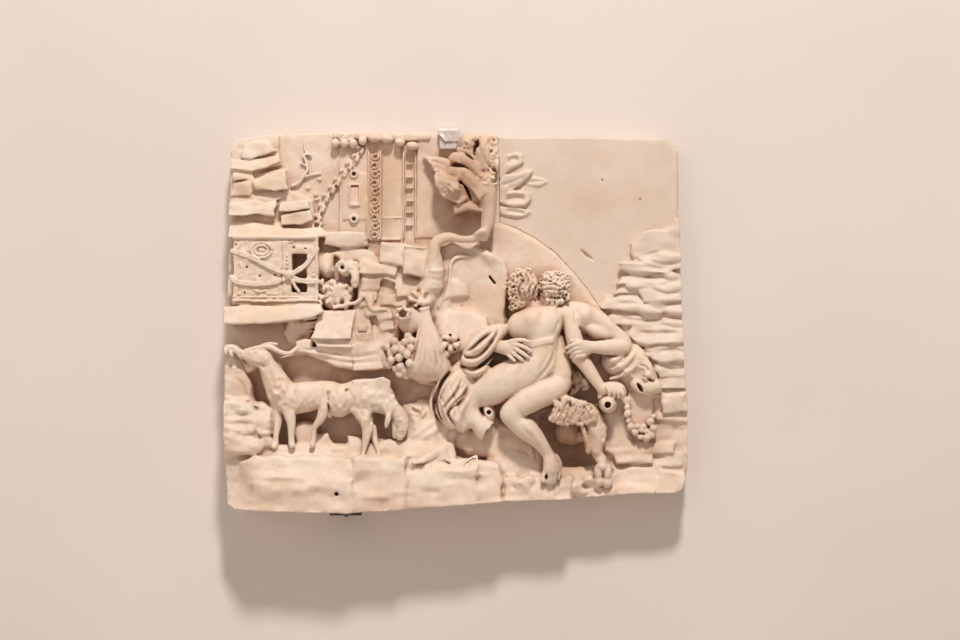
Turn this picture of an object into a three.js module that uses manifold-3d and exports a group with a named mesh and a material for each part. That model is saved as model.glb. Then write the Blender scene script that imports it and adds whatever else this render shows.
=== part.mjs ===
// A marble relief panel that hangs on a wall: a rocky landscape with a shrine, two goats, a tree with
// a bag of fruit, and an embracing couple. The old slab is one block carved in high relief. Its upper
// right corner is a separate, newer block fitted along an S-shaped joint. A steel clip holds the top
// edge and a small steel bracket carries the bottom edge.
//
// Millimetres, +Z up, the back face in the plane y = 0, the carved front towards -Y.
// "Depth" is the distance of a point from the back face, so depth d is y = -d.
import * as THREE from "three";
import { mergeVertices } from "three/addons/utils/BufferGeometryUtils.js";
import Module from "manifold-3d";

const wasm = await Module();
wasm.setup();

// ---- driving dimensions -------------------------------------------------------------------------
const SLAB_DEPTH = 28; // the flat ground of the old slab
const CORNER_DEPTH = 26; // the flat ground of the newer corner block
const ROOT_DEPTH = 14; // where each carved form starts, well inside the slab
const JOINT_GAP = 0.3; // between two pieces that touch
const CLIP = { x: -9, z: 207.5, width: 23, thickness: 2.4, rise: 7, outerDrop: 17.5, innerDrop: 24.5, front: 44 };
const BRACKET = { x: -121, z: -210, width: 35, thickness: 2, front: 74, pin: 2.2 };

// The slab's outline, counter-clockwise from the lower left corner: [x, z].
const OUTLINE = [
  [-252, -202], [-243, -207], [-172, -209], [-117, -210], [-62, -207], [-7, -203],
  [48, -199], [114, -197], [158, -194], [202, -191], [242, -191], [250, -187],
  [257, -164], [257, -87], [254, -70], [250, 23], [247, 188], [233, 203.5],
  [45, 206], [-138, 210], [-188, 209], [-216, 206], [-246, 201], [-251, 190],
  [-253, 100], [-257, -10], [-257, -131],
];

// The joint of the corner block, from the top edge down to the right edge: [x, z].
const JOINT = [
  [46, 215], [47, 109], [66, 103], [87, 92], [109, 76], [131, 53], [158, 16],
  [172, -1], [190, -16], [208, -34], [219, -56], [227, -75], [265, -75],
];

// ---- carved forms: rocks are [x, z, width, height, front depth, tilt in degrees] ------------------
const CRAG = [
  [-218, 189, 38, 16, 40, 12], [-221, 176, 54, 11, 37, 10], [-239, 164, 26, 12, 40, 3],
  [-206, 154, 34, 20, 44, 8], [-237, 143, 30, 18, 38, 0], [-210, 138, 42, 11, 36, 0],
  [-227, 124, 55, 15, 47, 0], [-181, 129, 36, 9, 43, 4], [-181, 117, 38, 14, 38, 3],
  [-215, 105, 74, 16, 36, 0], [-168, 98, 50, 14, 42, -4], [-116, 94, 50, 11, 46, 0],
];
const MIDDLE_ROCKS = [
  [-143, 56, 18, 36, 40, 0], [-84, 56, 42, 14, 46, -3], [-86, 39, 40, 17, 42, 4],
  [-69, 74, 20, 21, 47, -6], [-48, 75, 22, 22, 52, -4], [-48, 50, 34, 21, 40, 4],
  [-70, 22, 66, 20, 38, 0], [-203, 7, 106, 19, 64, 2], [-164, 2, 28, 20, 56, 8],
  [-127, -6, 50, 32, 56, 4], [-128, -29, 58, 18, 50, 3], [-96, 2, 22, 44, 47, 0],
  [-94, -34, 30, 34, 52, 0], [-73, -28, 36, 58, 44, 8], [-128, -48, 104, 16, 46, -6],
];
const TREE_ROCKS = [
  [28, 62, 52, 70, 38, -6], [52, 20, 40, 60, 40, 0], [8, 4, 50, 50, 42, 3],
  [32, -18, 60, 40, 40, 0], [-50, -70, 70, 40, 38, 0],
];
const GOAT_ROCKS = [
  [-244, -49, 22, 34, 50, 0], [-241, -80, 30, 24, 60, 0], [-238, -103, 36, 20, 64, -4],
  [-235, -124, 42, 22, 68, -6], [-205, -118, 13, 46, 66, 0],
];
const GROUND = [
  [-245, -168, 24, 74, 62, 0], [-196, -150, 104, 24, 74, -2], [-172, -184, 136, 48, 87, 1],
  [-134, -150, 56, 30, 76, 2], [-91, -171, 42, 66, 79, 0], [-52, -146, 66, 18, 62, 0],
  [-37, -180, 64, 46, 72, 1], [18, -156, 66, 26, 54, 4], [18, -184, 70, 34, 66, 0],
  [76, -185, 58, 24, 60, 0], [112, -180, 38, 30, 62, 0], [150, -181, 50, 24, 50, 0],
  [190, -178, 50, 26, 46, 3], [228, -175, 50, 34, 50, 6], [214, -150, 64, 20, 44, 0],
  [182, -150, 46, 18, 48, 0], [200, -124, 92, 30, 38, 0], [238, -88, 34, 26, 42, 0],
];
const CORNER_ROCKS = [
  [213, 85, 30, 26, 40, 20], [236, 92, 26, 30, 36, 20], [225, 70, 46, 15, 42, 3],
  [216, 52, 62, 18, 38, 4], [189, 43, 30, 18, 35, 0], [226, 34, 46, 18, 45, -3],
  [228, 18, 44, 14, 38, -4], [185, 17, 56, 16, 38, -2], [192, 2, 60, 12, 36, 0],
  [228, 2, 44, 14, 42, 0], [218, -16, 62, 18, 46, 4], [231, -36, 36, 17, 44, 0],
  [236, -60, 32, 24, 46, 0],
];

// ---- carved forms: limbs and branches are lists of [x, z, depth, radius] --------------------------
const LEFT_GOAT = {
  head: [[-239, -35, 60, 4], [-228, -36, 60, 7], [-213, -38, 58, 9]],
  horn: [[-209, -30, 60, 3.5], [-196, -32, 62, 3], [-185, -34, 58, 2.5], [-175, -27, 48, 4]],
  neck: [[-213, -40, 58, 9], [-206, -57, 56, 10], [-196, -76, 55, 13]],
  trunk: [[-196, -78, 54, 14], [-172, -82, 54, 14], [-150, -79, 54, 15]],
  far_foreleg: [[-200, -86, 54, 7], [-197, -114, 54, 4], [-195, -140, 58, 3.5]],
  near_foreleg: [[-186, -88, 58, 8], [-182, -114, 62, 4.5], [-180, -140, 64, 4]],
  hind_leg: [[-145, -82, 58, 8], [-147, -110, 62, 5], [-155, -121, 62, 3.5], [-156, -140, 62, 3]],
};
const RIGHT_GOAT = {
  trunk: [[-134, -87, 54, 13], [-117, -86, 55, 15], [-99, -85, 55, 16], [-80, -84, 53, 15]],
  neck: [[-80, -88, 52, 12], [-64, -99, 54, 8]],
  head: [[-63, -97, 56, 7], [-59, -110, 57, 8], [-60, -126, 55, 5]],
  ear: [[-73, -100, 58, 3], [-77, -114, 56, 3]],
  near_foreleg: [[-98, -96, 58, 9], [-99, -120, 60, 5], [-103, -153, 62, 3.2]],
  far_foreleg: [[-91, -122, 52, 4], [-80, -156, 56, 3]],
};
const TREE = {
  trunk: [[-14, 20, 40, 10], [-18, 45, 42, 8], [-23, 65, 43, 7], [-24, 86, 44, 7]],
  bough: [[-23, 87, 45, 6], [-10, 93, 48, 4.5], [6, 90, 52, 4], [18, 92, 55, 4], [29, 101, 56, 4.5]],
  stem: [[31, 101, 56, 5], [34, 120, 57, 6.5], [32, 140, 56, 8], [26, 160, 50, 9]],
  twig: [[-185, 148, 31, 2], [-170, 158, 31, 2], [-164, 168, 31, 2], [-166, 178, 31, 2], [-158, 185, 31, 2]],
  skin_edge: [[15, 71, 39, 2], [0, 69, 40, 2], [-8, 58, 42, 2], [-10, 34, 43, 2], [-17, 12, 42, 2]],
};
const LEAVES = {
  long: [[-8, 165, 64, 3], [4, 163, 68, 6], [15, 153, 66, 7], [25, 136, 58, 6]],
  upper: [[-1, 177, 60, 3], [10, 176, 66, 8], [20, 165, 64, 7], [27, 150, 58, 5]],
  left: [[-28, 176, 46, 3], [-14, 171, 56, 7], [-4, 158, 58, 6]],
  lower: [[-22, 154, 60, 3], [-14, 148, 66, 10], [-6, 136, 60, 9]],
  stub: [[-8, 125, 54, 3], [4, 126, 56, 5], [14, 128, 54, 3]],
  top: [[8, 198, 44, 5], [16, 190, 50, 8], [22, 176, 50, 6]],
};
const CORNER_LEAVES = {
  first: [[49, 178, 29, 4], [58, 181, 32, 5], [67, 180, 30, 3]],
  second: [[48, 150, 29, 3], [62, 163, 33, 6], [78, 171, 30, 2]],
  third: [[76, 152, 28, 3], [84, 158, 30, 4], [92, 155, 28, 2]],
  fourth: [[48, 141, 29, 3], [64, 147, 34, 5], [77, 142, 31, 4]],
  fifth: [[49, 130, 29, 3], [62, 131, 31, 4], [77, 126, 29, 2]],
};
const FRUIT_BAG = {
  neck: [[-34, 18, 54, 5], [-33, 4, 56, 7], [-31, -16, 54, 14]],
  flask: [[-58, 9, 62, 10], [-47, 6, 52, 12]],
  flower: [[-17, -20, 50, 7], [-5, -26, 54, 9]],
};
const WOMAN = {
  back: [[104, 2, 48, 17], [84, -8, 52, 25], [78, -26, 52, 20], [72, -46, 54, 22], [56, -60, 54, 25]],
  shoulder: [[100, 4, 50, 15], [74, -4, 50, 19], [60, -16, 48, 14]],
  thigh: [[58, -62, 56, 24], [38, -74, 57, 21], [16, -86, 54, 15]],
  shin_stump: [[10, -98, 52, 13], [24, -112, 56, 12], [32, -119, 56, 10]],
  upper_arm: [[120, 8, 52, 10], [126, -15, 57, 9.5], [134, -34, 60, 8.5]],
  forearm: [[134, -34, 60, 8.5], [147, -54, 62, 7], [160, -70, 62, 5.5]],
  hand: [[160, -70, 62, 6], [172, -75, 61, 7], [180, -84, 58, 5]],
  neck: [[108, 30, 50, 9], [106, 12, 48, 10]],
};
const MAN = {
  left_shoulder: [[136, 6, 42, 12], [148, 3, 46, 12], [158, -10, 44, 12]],
  chest: [[148, -6, 40, 14], [163, -22, 44, 12]],
  left_forearm: [[182, -34, 48, 10], [162, -30, 58, 8], [146, -30, 62, 6]],
  left_hand: [[146, -30, 63, 7], [131, -30, 66, 8], [124, -38, 64, 5]],
  right_palm: [[46, -26, 62, 7], [58, -30, 66, 9], [68, -34, 68, 7]],
  side: [[174, -26, 40, 16], [182, -48, 42, 18], [178, -66, 38, 14]],
  thigh: [[116, -58, 50, 12], [112, -70, 54, 15], [92, -77, 60, 16], [72, -90, 64, 14], [60, -101, 64, 12]],
  shin: [[61, -103, 64, 12], [78, -119, 62, 12], [94, -138, 60, 8], [102, -154, 60, 6]],
  foot: [[102, -154, 60, 7], [105, -168, 64, 8.5], [105, -178, 66, 7]],
  goat_thigh: [[150, -100, 54, 10], [158, -122, 56, 12], [153, -144, 54, 7]],
  goat_shank: [[153, -144, 54, 7], [159, -158, 54, 5], [165, -176, 55, 8]],
  fleece: [[100, -100, 58, 8], [124, -98, 62, 11], [152, -100, 60, 5]],
};
const DRAPERY = {
  upper: [[52, -12, 54, 6], [36, -30, 60, 12], [20, -50, 62, 13], [30, -58, 62, 8]],
  upper_hem: [[8, -42, 60, 4], [16, -58, 66, 5], [32, -56, 66, 5], [46, -36, 62, 4]],
  lower: [[12, -62, 54, 12], [-6, -78, 54, 13], [-12, -98, 52, 11], [2, -116, 50, 7]],
  lower_hem: [[6, -54, 44, 4], [-16, -72, 42, 5], [-24, -96, 42, 4], [-18, -114, 42, 4], [4, -124, 44, 4]],
  band: [[68, -26, 68, 4], [86, -22, 70, 4], [104, -18, 64, 4], [112, -17, 58, 4]],
};
const SKIN = {
  folds: [[196, -20, 38, 8], [200, -44, 42, 12], [190, -68, 40, 8]],
  mask: [[206, -38, 42, 12], [214, -54, 46, 14], [208, -72, 46, 8]],
  muzzle: [[222, -62, 42, 10], [210, -76, 46, 8], [198, -78, 42, 6]],
};

// Round forms: [x, z, depth, half width, half height, half thickness].
const ROUNDS = [
  [-29, -36, 48, 24, 32, 28], [-122, 58, 42, 11, 11, 14], [-113, 47, 46, 7, 8, 8],
  [-128, 28, 38, 14, 16, 14], [31, 184, 54, 9, 19, 12], [32, 158, 56, 9, 9, 10],
  [68, 36, 48, 17, 19, 22], [66, 18, 44, 10, 12, 14], [107, 36, 50, 15, 15, 20],
  [167, -91, 58, 11, 11, 10], [35, -98, 46, 9, 12, 16], [-185, 50, 52, 4, 4, 5],
];

// Straps tied round the shrine box, as [x, z, depth, radius] from the knot outwards.
const STRAPS = [
  [[-186, 50, 53, 3], [-214, 64, 53, 3], [-246, 77, 51, 3]],
  [[-186, 50, 53, 3], [-168, 59, 53, 2.5], [-153, 77, 51, 2.5]],
  [[-186, 49, 53, 3], [-205, 43, 53, 3], [-228, 43, 53, 3], [-248, 50, 51, 3]],
  [[-186, 49, 53, 2.5], [-170, 44, 53, 2.5], [-152, 43, 51, 2.5]],
];

// ---- small builders --------------------------------------------------------------------------------
const FRONT = new THREE.Vector3(0, -1, 0);
const at = (x, z, depth) => new THREE.Vector3(x, -depth, z);

function solid(geometry) {
  const bare = geometry.clone();
  bare.deleteAttribute("normal");
  bare.deleteAttribute("uv");
  const merged = mergeVertices(bare, 1e-4);
  return new wasm.Manifold(
    new wasm.Mesh({
      numProp: 3,
      vertProperties: merged.attributes.position.array,
      triVerts: new Uint32Array(merged.index.array),
    }),
  );
}

// A flat plate of an [x, z] outline between two depths.
function plate(outline, back, front) {
  const shape = new THREE.Shape(outline.map(([x, z]) => new THREE.Vector2(x, z)));
  const body = new THREE.ExtrudeGeometry(shape, { depth: front - back, bevelEnabled: false });
  body.rotateX(Math.PI / 2); // the outline's second axis becomes Z, and the plate grows towards -Y
  body.translate(0, -back, 0);
  return solid(body);
}

function box(x, z, width, height, back, front) {
  const body = new THREE.BoxGeometry(width, front - back, height);
  body.translate(x, -(back + front) / 2, z);
  return solid(body);
}

// A worn block of rock: a box whose front is smaller than its root and leans a little, by its place.
function rock([x, z, width, height, front, tilt]) {
  const depth = front - ROOT_DEPTH;
  const body = new THREE.BoxGeometry(width, depth, height);
  const corners = body.attributes.position;
  const lean = Math.sin(x * 0.7 + z * 1.3);
  for (let i = 0; i < corners.count; i++) {
    if (corners.getY(i) > 0) continue;
    const inset = Math.min(4, height * 0.16);
    corners.setX(i, corners.getX(i) - Math.sign(corners.getX(i)) * inset);
    corners.setZ(i, corners.getZ(i) - Math.sign(corners.getZ(i)) * inset);
    corners.setY(i, corners.getY(i) + (Math.sign(corners.getX(i)) * lean + 1) * 1.2);
  }
  body.rotateY((-tilt * Math.PI) / 180);
  body.translate(x, -(ROOT_DEPTH + depth / 2), z);
  return solid(body);
}

// A body of round section along a smooth path through its stations. Its back half runs straight back
// into the slab, as carving in relief does.
function limb(stations, sides = 6, stepsEach = 1) {
  const path = new THREE.CatmullRomCurve3(stations.map(([x, z, depth]) => at(x, z, depth)));
  const steps = (stations.length - 1) * stepsEach;
  const places = [];
  const faces = [];
  const across = new THREE.Vector3();
  const radiusAt = (share) => {
    const place = share * (stations.length - 1);
    const i = Math.min(stations.length - 2, Math.floor(place));
    return THREE.MathUtils.lerp(stations[i][3], stations[i + 1][3], place - i);
  };
  for (let i = 0; i <= steps; i++) {
    const centre = path.getPoint(i / steps);
    const radius = radiusAt(i / steps);
    across.crossVectors(path.getTangent(i / steps), FRONT).setY(0).normalize();
    for (let j = 0; j < sides; j++) {
      const angle = ((j + 0.5) / sides) * 2 * Math.PI;
      const point = centre.clone().addScaledVector(across, radius * Math.cos(angle));
      if (Math.sin(angle) > 0) point.addScaledVector(FRONT, radius * 0.85 * Math.sin(angle));
      else point.y = -ROOT_DEPTH + Math.sin(angle);
      places.push(point);
    }
  }
  for (const [share, sign] of [[0, -1], [1, 1]]) {
    const tip = path.getTangent(share).setY(0).normalize().multiplyScalar(sign * radiusAt(share) * 0.75);
    const pole = path.getPoint(share).add(tip);
    places.push(pole.setY((pole.y - ROOT_DEPTH) / 2));
  }
  const startPole = places.length - 2;
  const endPole = places.length - 1;
  for (let j = 0; j < sides; j++) {
    const next = (j + 1) % sides;
    for (let i = 0; i < steps; i++) {
      const [a, b] = [i * sides + j, i * sides + next];
      faces.push(a, b + sides, b, a, a + sides, b + sides);
    }
    faces.push(startPole, j, next);
    faces.push(endPole, steps * sides + next, steps * sides + j);
  }
  const body = new THREE.BufferGeometry().setFromPoints(places);
  body.setIndex(faces);
  return solid(body);
}

// A rounded boss whose back half runs straight back into the slab.
function round([x, z, depth, halfWidth, halfHeight, halfThickness], detail = 1) {
  const body = new THREE.IcosahedronGeometry(1, detail);
  body.scale(halfWidth, halfThickness, halfHeight);
  body.translate(x, -depth, z);
  const points = body.attributes.position;
  for (let i = 0; i < points.count; i++) {
    if (points.getY(i) > -depth + 0.01) points.setY(i, -ROOT_DEPTH + (points.getY(i) + depth) / 50);
  }
  return solid(body);
}

// The largest closed body, without the pinholes that crossing forms leave shut inside it.
const oneBody = (body) => body.decompose().sort((a, b) => b.volume() - a.volume())[0];

const bead = (x, z, depth, radius) => round([x, z, depth, radius, radius, radius], 0);
const limbsOf = (figure, ...how) => Object.values(figure).map((stations) => limb(stations, ...how));

// ---- parts of the scene ----------------------------------------------------------------------------
// The shrine box: a chest with a windowed right half, tied with straps.
function shrineBox() {
  const chest = box(-199, 55, 92, 76, ROOT_DEPTH, 51);
  const windows = [box(-173, 60, 16, 26, 36, 60), box(-173, 37, 16, 10, 36, 60)];
  const frame = [box(-199, 91, 94, 4, ROOT_DEPTH, 53), box(-199, 20, 94, 5, ROOT_DEPTH, 53)];
  return [
    chest.subtract(wasm.Manifold.union(windows)),
    ...frame,
    ...STRAPS.map((stations) => limb(stations)),
  ];
}

// The gate behind it: three pilasters, a lintel and a garland of oval beads.
function gate() {
  const pilasters = [
    box(-112, 134, 19, 78, ROOT_DEPTH, 32),
    box(-92, 140, 13, 100, ROOT_DEPTH, 35),
    box(-52, 140, 11, 98, ROOT_DEPTH, 34),
  ];
  const lintel = box(-94, 203, 86, 12, ROOT_DEPTH, 38);
  const drops = [];
  for (let i = 0; i < 11; i++) drops.push(bead(-92, 98 + i * 8.4, 35, 3.4));
  const garland = [];
  for (let i = 0; i < 10; i++) {
    const share = i / 9;
    garland.push(bead(-135 + 95 * share, 198 + 6 * Math.sin(Math.PI * share) - 3 * share, 38, 5));
    garland.push(bead(-111 - 43 * share, 190 - 62 * share ** 1.15, 32, 4));
  }
  return [...pilasters, lintel, ...drops, ...garland];
}

// A bunch of round fruit in staggered rows, each row a little shorter than the one above.
function fruitBunch() {
  const radius = 6;
  const fruit = [];
  for (let row = 0; row < 5; row++) {
    for (let i = 0; i < 4 - Math.floor(row / 2); i++) {
      const x = -72 + (i + (row % 2) * 0.5 + row * 0.15) * radius * 1.75;
      fruit.push(bead(x, -22 - row * radius * 1.5, 54 - row, radius));
    }
  }
  return fruit;
}

// A wreath of buds hanging open at the top.
function wreath() {
  const buds = [];
  for (let i = 0; i < 9; i++) {
    const angle = Math.PI * (1.05 + (0.95 * i) / 8);
    buds.push(bead(203 + 13 * Math.cos(angle), -106 + 19 * Math.sin(angle), 42, 5));
  }
  return buds;
}

// Fingers fan out from a palm towards the right and down.
function spreadFingers() {
  const fingers = [];
  for (let i = 0; i < 4; i++) {
    const angle = -0.15 - i * 0.28;
    const root = [66 - i * 2, -28 - i * 4, 69, 2.4];
    const tip = [root[0] + 17 * Math.cos(angle), root[1] + 17 * Math.sin(angle), 68, 1.8];
    fingers.push(limb([root, tip]));
  }
  return fingers;
}

// Folds that follow the drapery's own path, set side by side across it.
function foldsAlong(stations, count, spread) {
  const folds = [];
  for (let i = 0; i < count; i++) {
    const shift = (i - (count - 1) / 2) * spread;
    folds.push(limb(stations.map(([x, z, d]) => [x + shift, z - shift * 0.6, d + 8, 3])));
  }
  return folds;
}

// A drill hole from in front of everything back to a depth.
function hole(x, z, radius, back) {
  const body = new THREE.CylinderGeometry(radius, radius, 120 - back, 10);
  body.translate(x, -(120 + back) / 2, z);
  return solid(body);
}

function slabSolid(cornerPrism) {
  const rocks = [CRAG, MIDDLE_ROCKS, TREE_ROCKS, GOAT_ROCKS, GROUND].flat().map(rock);
  const body = wasm.Manifold.union([
    plate(OUTLINE, 0, SLAB_DEPTH),
    ...rocks,
    ...shrineBox(),
    ...gate(),
    ...limbsOf(LEFT_GOAT),
    ...limbsOf(RIGHT_GOAT),
    ...limbsOf(TREE),
    ...limbsOf(LEAVES),
    ...limbsOf(FRUIT_BAG),
    ...limbsOf(WOMAN, 8),
    ...limbsOf(MAN, 8),
    ...limbsOf(DRAPERY),
    ...limbsOf(SKIN),
    ...ROUNDS.map((form) => round(form, form[3] > 8 ? 1 : 0)),
    ...fruitBunch(),
    ...wreath(),
    ...spreadFingers(),
    ...foldsAlong(DRAPERY.lower, 3, 8),
    ...foldsAlong(DRAPERY.upper, 2, 8),
  ]);
  const holes = [hole(-58, 8, 5, 60), hole(36, -97, 3, 56), hole(165, -92, 3, 62)];
  return oneBody(
    body.subtract(wasm.Manifold.union(holes)).intersect(plate(OUTLINE, 0, 120)).subtract(cornerPrism),
  );
}

function cornerSolid(cornerPrism) {
  const body = wasm.Manifold.union([
    plate(OUTLINE, 0, CORNER_DEPTH),
    ...CORNER_ROCKS.map(rock),
    ...limbsOf(CORNER_LEAVES),
  ]);
  return oneBody(body.intersect(plate(OUTLINE, 0, 120)).intersect(cornerPrism));
}

// The prism that parts the corner block from the slab, moved up and right by a shift.
function prism(shift) {
  const moved = JOINT.map(([x, z]) => [x + shift, z + shift]);
  return plate([[265 + shift, 215 + shift], ...moved].reverse(), -5, 130);
}

// The clip: a steel strip over the top edge, bent down in front of the slab and folded double, so
// that its inner leaf shows below the outer one.
function clipSolid() {
  const top = CLIP.z + CLIP.rise;
  const leaf = (drop, front, narrowing) => {
    const foot = CLIP.width / 2 - narrowing;
    const outline = [[-foot, top - drop], [foot, top - drop], [CLIP.width / 2, top], [-CLIP.width / 2, top]];
    return plate(outline.map(([x, z]) => [x + CLIP.x, z]), front - CLIP.thickness, front);
  };
  const strip = box(CLIP.x, top - CLIP.thickness / 2, CLIP.width, CLIP.thickness, 0, CLIP.front);
  return strip.add(leaf(CLIP.outerDrop, CLIP.front, 1)).add(leaf(CLIP.innerDrop, CLIP.front - 1.6, 1.6));
}

// The bracket: a thin steel shelf under the bottom edge with a pin through it near its front.
function bracketSolid() {
  const top = BRACKET.z - JOINT_GAP;
  const shelf = box(BRACKET.x, top - BRACKET.thickness / 2, BRACKET.width, BRACKET.thickness, 0, BRACKET.front);
  const pin = new THREE.CylinderGeometry(BRACKET.pin, BRACKET.pin, 3, 10);
  pin.rotateX(Math.PI / 2);
  pin.translate(BRACKET.x + 1, -(BRACKET.front - 6), top - BRACKET.thickness - 0.5);
  return shelf.add(solid(pin));
}

// ---- the group -------------------------------------------------------------------------------------
function meshOf(name, body, material) {
  const mesh = body.getMesh();
  const geometry = new THREE.BufferGeometry();
  geometry.setAttribute("position", new THREE.BufferAttribute(new Float32Array(mesh.vertProperties), 3));
  geometry.setIndex(new THREE.BufferAttribute(new Uint32Array(mesh.triVerts), 1));
  const part = new THREE.Mesh(geometry, material);
  part.name = name;
  return part;
}

const agedMarble = new THREE.MeshStandardMaterial({ color: 0xdcc3a8, roughness: 0.6, metalness: 0 });
const newMarble = new THREE.MeshStandardMaterial({ color: 0xe3cfba, roughness: 0.55, metalness: 0 });
const steel = new THREE.MeshStandardMaterial({ color: 0x9c9692, roughness: 0.45, metalness: 0.8 });

const panel = new THREE.Group();
panel.add(meshOf("relief_slab", slabSolid(prism(0)), agedMarble));
panel.add(meshOf("restored_corner", cornerSolid(prism(JOINT_GAP)), newMarble));
panel.add(meshOf("top_clip", clipSolid(), steel));
panel.add(meshOf("bottom_bracket", bracketSolid(), steel));

export default panel;
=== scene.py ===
"""A marble relief panel on a wall: the old carved slab, the newer corner block fitted to it, the
steel clip over its top edge and the steel bracket under its bottom edge.

Sizes in the carving functions are millimetres. x runs to the right, z up, and depth is the distance
in front of the flat back face, so a point lies at (x, -depth, z) in the frame of the CAD model.
"""

import math

import bmesh
import bpy
import numpy as np
import openvdb
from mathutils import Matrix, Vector


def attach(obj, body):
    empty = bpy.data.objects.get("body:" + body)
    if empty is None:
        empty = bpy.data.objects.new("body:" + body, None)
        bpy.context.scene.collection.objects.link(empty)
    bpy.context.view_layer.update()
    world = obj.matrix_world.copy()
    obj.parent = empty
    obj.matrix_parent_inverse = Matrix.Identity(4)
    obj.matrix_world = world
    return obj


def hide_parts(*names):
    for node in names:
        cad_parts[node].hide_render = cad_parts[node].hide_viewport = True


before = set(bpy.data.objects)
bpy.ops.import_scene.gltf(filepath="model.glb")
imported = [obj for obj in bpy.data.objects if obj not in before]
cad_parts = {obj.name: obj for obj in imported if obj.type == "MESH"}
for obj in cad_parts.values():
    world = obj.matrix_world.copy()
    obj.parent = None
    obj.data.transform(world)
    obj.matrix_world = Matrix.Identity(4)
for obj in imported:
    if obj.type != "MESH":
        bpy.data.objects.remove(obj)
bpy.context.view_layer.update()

MM = 0.001
SLAB_TRIANGLES = 198_000
CORNER_TRIANGLES = 60_000
STEP = 1.0  # spacing of the carving grid
BAND = 12.0  # distances further than this from a surface aren't kept
GRAIN = 0.12  # share of a form's roughness that is fine grain
AIR = 90  # a depth in front of every surface, where cuts start
GRID_FRONT = 95  # depth past which the carving grid holds nothing
FOLD_REACH = 2.2  # a fold fades out at this many of its widths
FIELD_LIMIT = 3.0  # distances are held to this before they are meshed
SLAB_FRONT = 86.4  # nothing on the slab stands further forward


# ---- carving tools -------------------------------------------------------------------------------
def union(old, new, blend):
    """Two distances run into one, eased over blend where they meet."""
    overlap = np.maximum(blend - np.abs(old - new), 0)
    return np.minimum(old, new) - overlap * overlap / (4 * blend)


def lattice_noise(counts, sizes, seed):
    """Smooth random values from -1 to 1 on a grid, with bumps of these sizes in millimetres, one
    for each axis."""
    source = np.random.default_rng(seed)
    values = source.uniform(-1, 1, [int(n * STEP / size) + 3 for n, size in zip(counts, sizes)])
    values = values.astype(np.float32)
    for axis, (count, size) in enumerate(zip(counts, sizes)):
        place = np.arange(count, dtype=np.float32) * STEP / size
        first = place.astype(int)
        share = place - first
        shape = [1] * len(counts)
        shape[axis] = count
        share = (share * share * (3 - 2 * share)).reshape(shape)
        values = values.take(first, axis) * (1 - share) + values.take(first + 1, axis) * share
    return values


class Stone:
    """A block of stone as distances on a grid, negative inside. A shape is a distance function, its
    lowest and highest corners, and how rough its surface is."""

    def __init__(self, low, high, seed):
        self.low = np.array(low, np.float32)
        counts = [int((high[i] - low[i]) / STEP) + 2 for i in range(3)]
        self.lines = [self.low[i] + STEP * np.arange(counts[i], dtype=np.float32) for i in range(3)]
        self.field = np.full(counts, BAND, np.float32)
        self.warp = [lattice_noise(counts, [13] * 3, seed + i) for i in range(3)]  # long swells
        self.grain = lattice_noise(counts, [4.5] * 3, seed + 5)

    def window(self, low, high, pad):
        """The part of the grid between two corners, with room round it."""
        spans = []
        for axis in range(3):
            start = int((low[axis] - pad - self.low[axis]) / STEP)
            stop = int((high[axis] + pad - self.low[axis]) / STEP) + 2
            spans.append(slice(max(0, start), max(0, min(stop, len(self.lines[axis])))))
        return tuple(spans)

    def measure(self, shape, pad):
        """The distances of a shape over the part of the grid that it reaches."""
        distance, low, high, rough = shape
        where = self.window(low, high, pad + abs(rough))
        x = self.lines[0][where[0]][:, None, None]
        z = self.lines[1][where[1]][None, :, None]
        d = self.lines[2][where[2]][None, None, :]
        if rough:
            x = x + rough * self.warp[0][where]
            z = z + rough * self.warp[1][where]
            d = d + rough * self.warp[2][where]
        values = distance(x, z, d)
        if rough:
            values = values + GRAIN * rough * self.grain[where]
        return where, values

    def add(self, shape, blend):
        """Builds a shape up on the stone, eased into it over blend millimetres."""
        where, new = self.measure(shape, 6)
        self.field[where] = union(self.field[where], new, blend)

    def cut(self, shape, blend):
        """Takes a shape out of the stone, its rim eased over blend millimetres."""
        where, new = self.measure(shape, 4)
        old = self.field[where]
        overlap = np.maximum(blend - np.abs(old + new), 0)
        self.field[where] = np.maximum(old, -new) + overlap * overlap / (4 * blend)


def spread(points, reach):
    """The lowest and highest corners of some points, with room round each."""
    points = np.array(points, float)
    reach = np.array(reach, float).reshape(-1, 1)
    return (points - reach).min(0), (points + reach).max(0)


def together(*shapes, blend=3.0, rough=0.0):
    """Several shapes run softly into one."""

    def distance(x, z, d):
        total = None
        for part, _, _, _ in shapes:
            new = part(x, z, d)
            total = new if total is None else union(total, new, blend)
        return total

    low = np.min([shape[1] for shape in shapes], axis=0)
    high = np.max([shape[2] for shape in shapes], axis=0)
    return distance, low, high, rough


def smooth_path(stations, steps=4):
    """Stations on a smooth curve through the given ones."""
    if len(stations) < 3 or steps < 2:
        return stations
    ends = [stations[0], *stations, stations[-1]]
    points = [np.array(station, float) for station in ends]
    path = []
    for before, start, stop, after in zip(points, points[1:], points[2:], points[3:]):
        for t in np.arange(steps) / steps:
            bend = 2 * start + (stop - before) * t
            bend = bend + (2 * before - 5 * start + 4 * stop - after) * t**2
            path.append(0.5 * (bend + (3 * start - before - 3 * stop + after) * t**3))
    return [*path, points[-2]]


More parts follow.
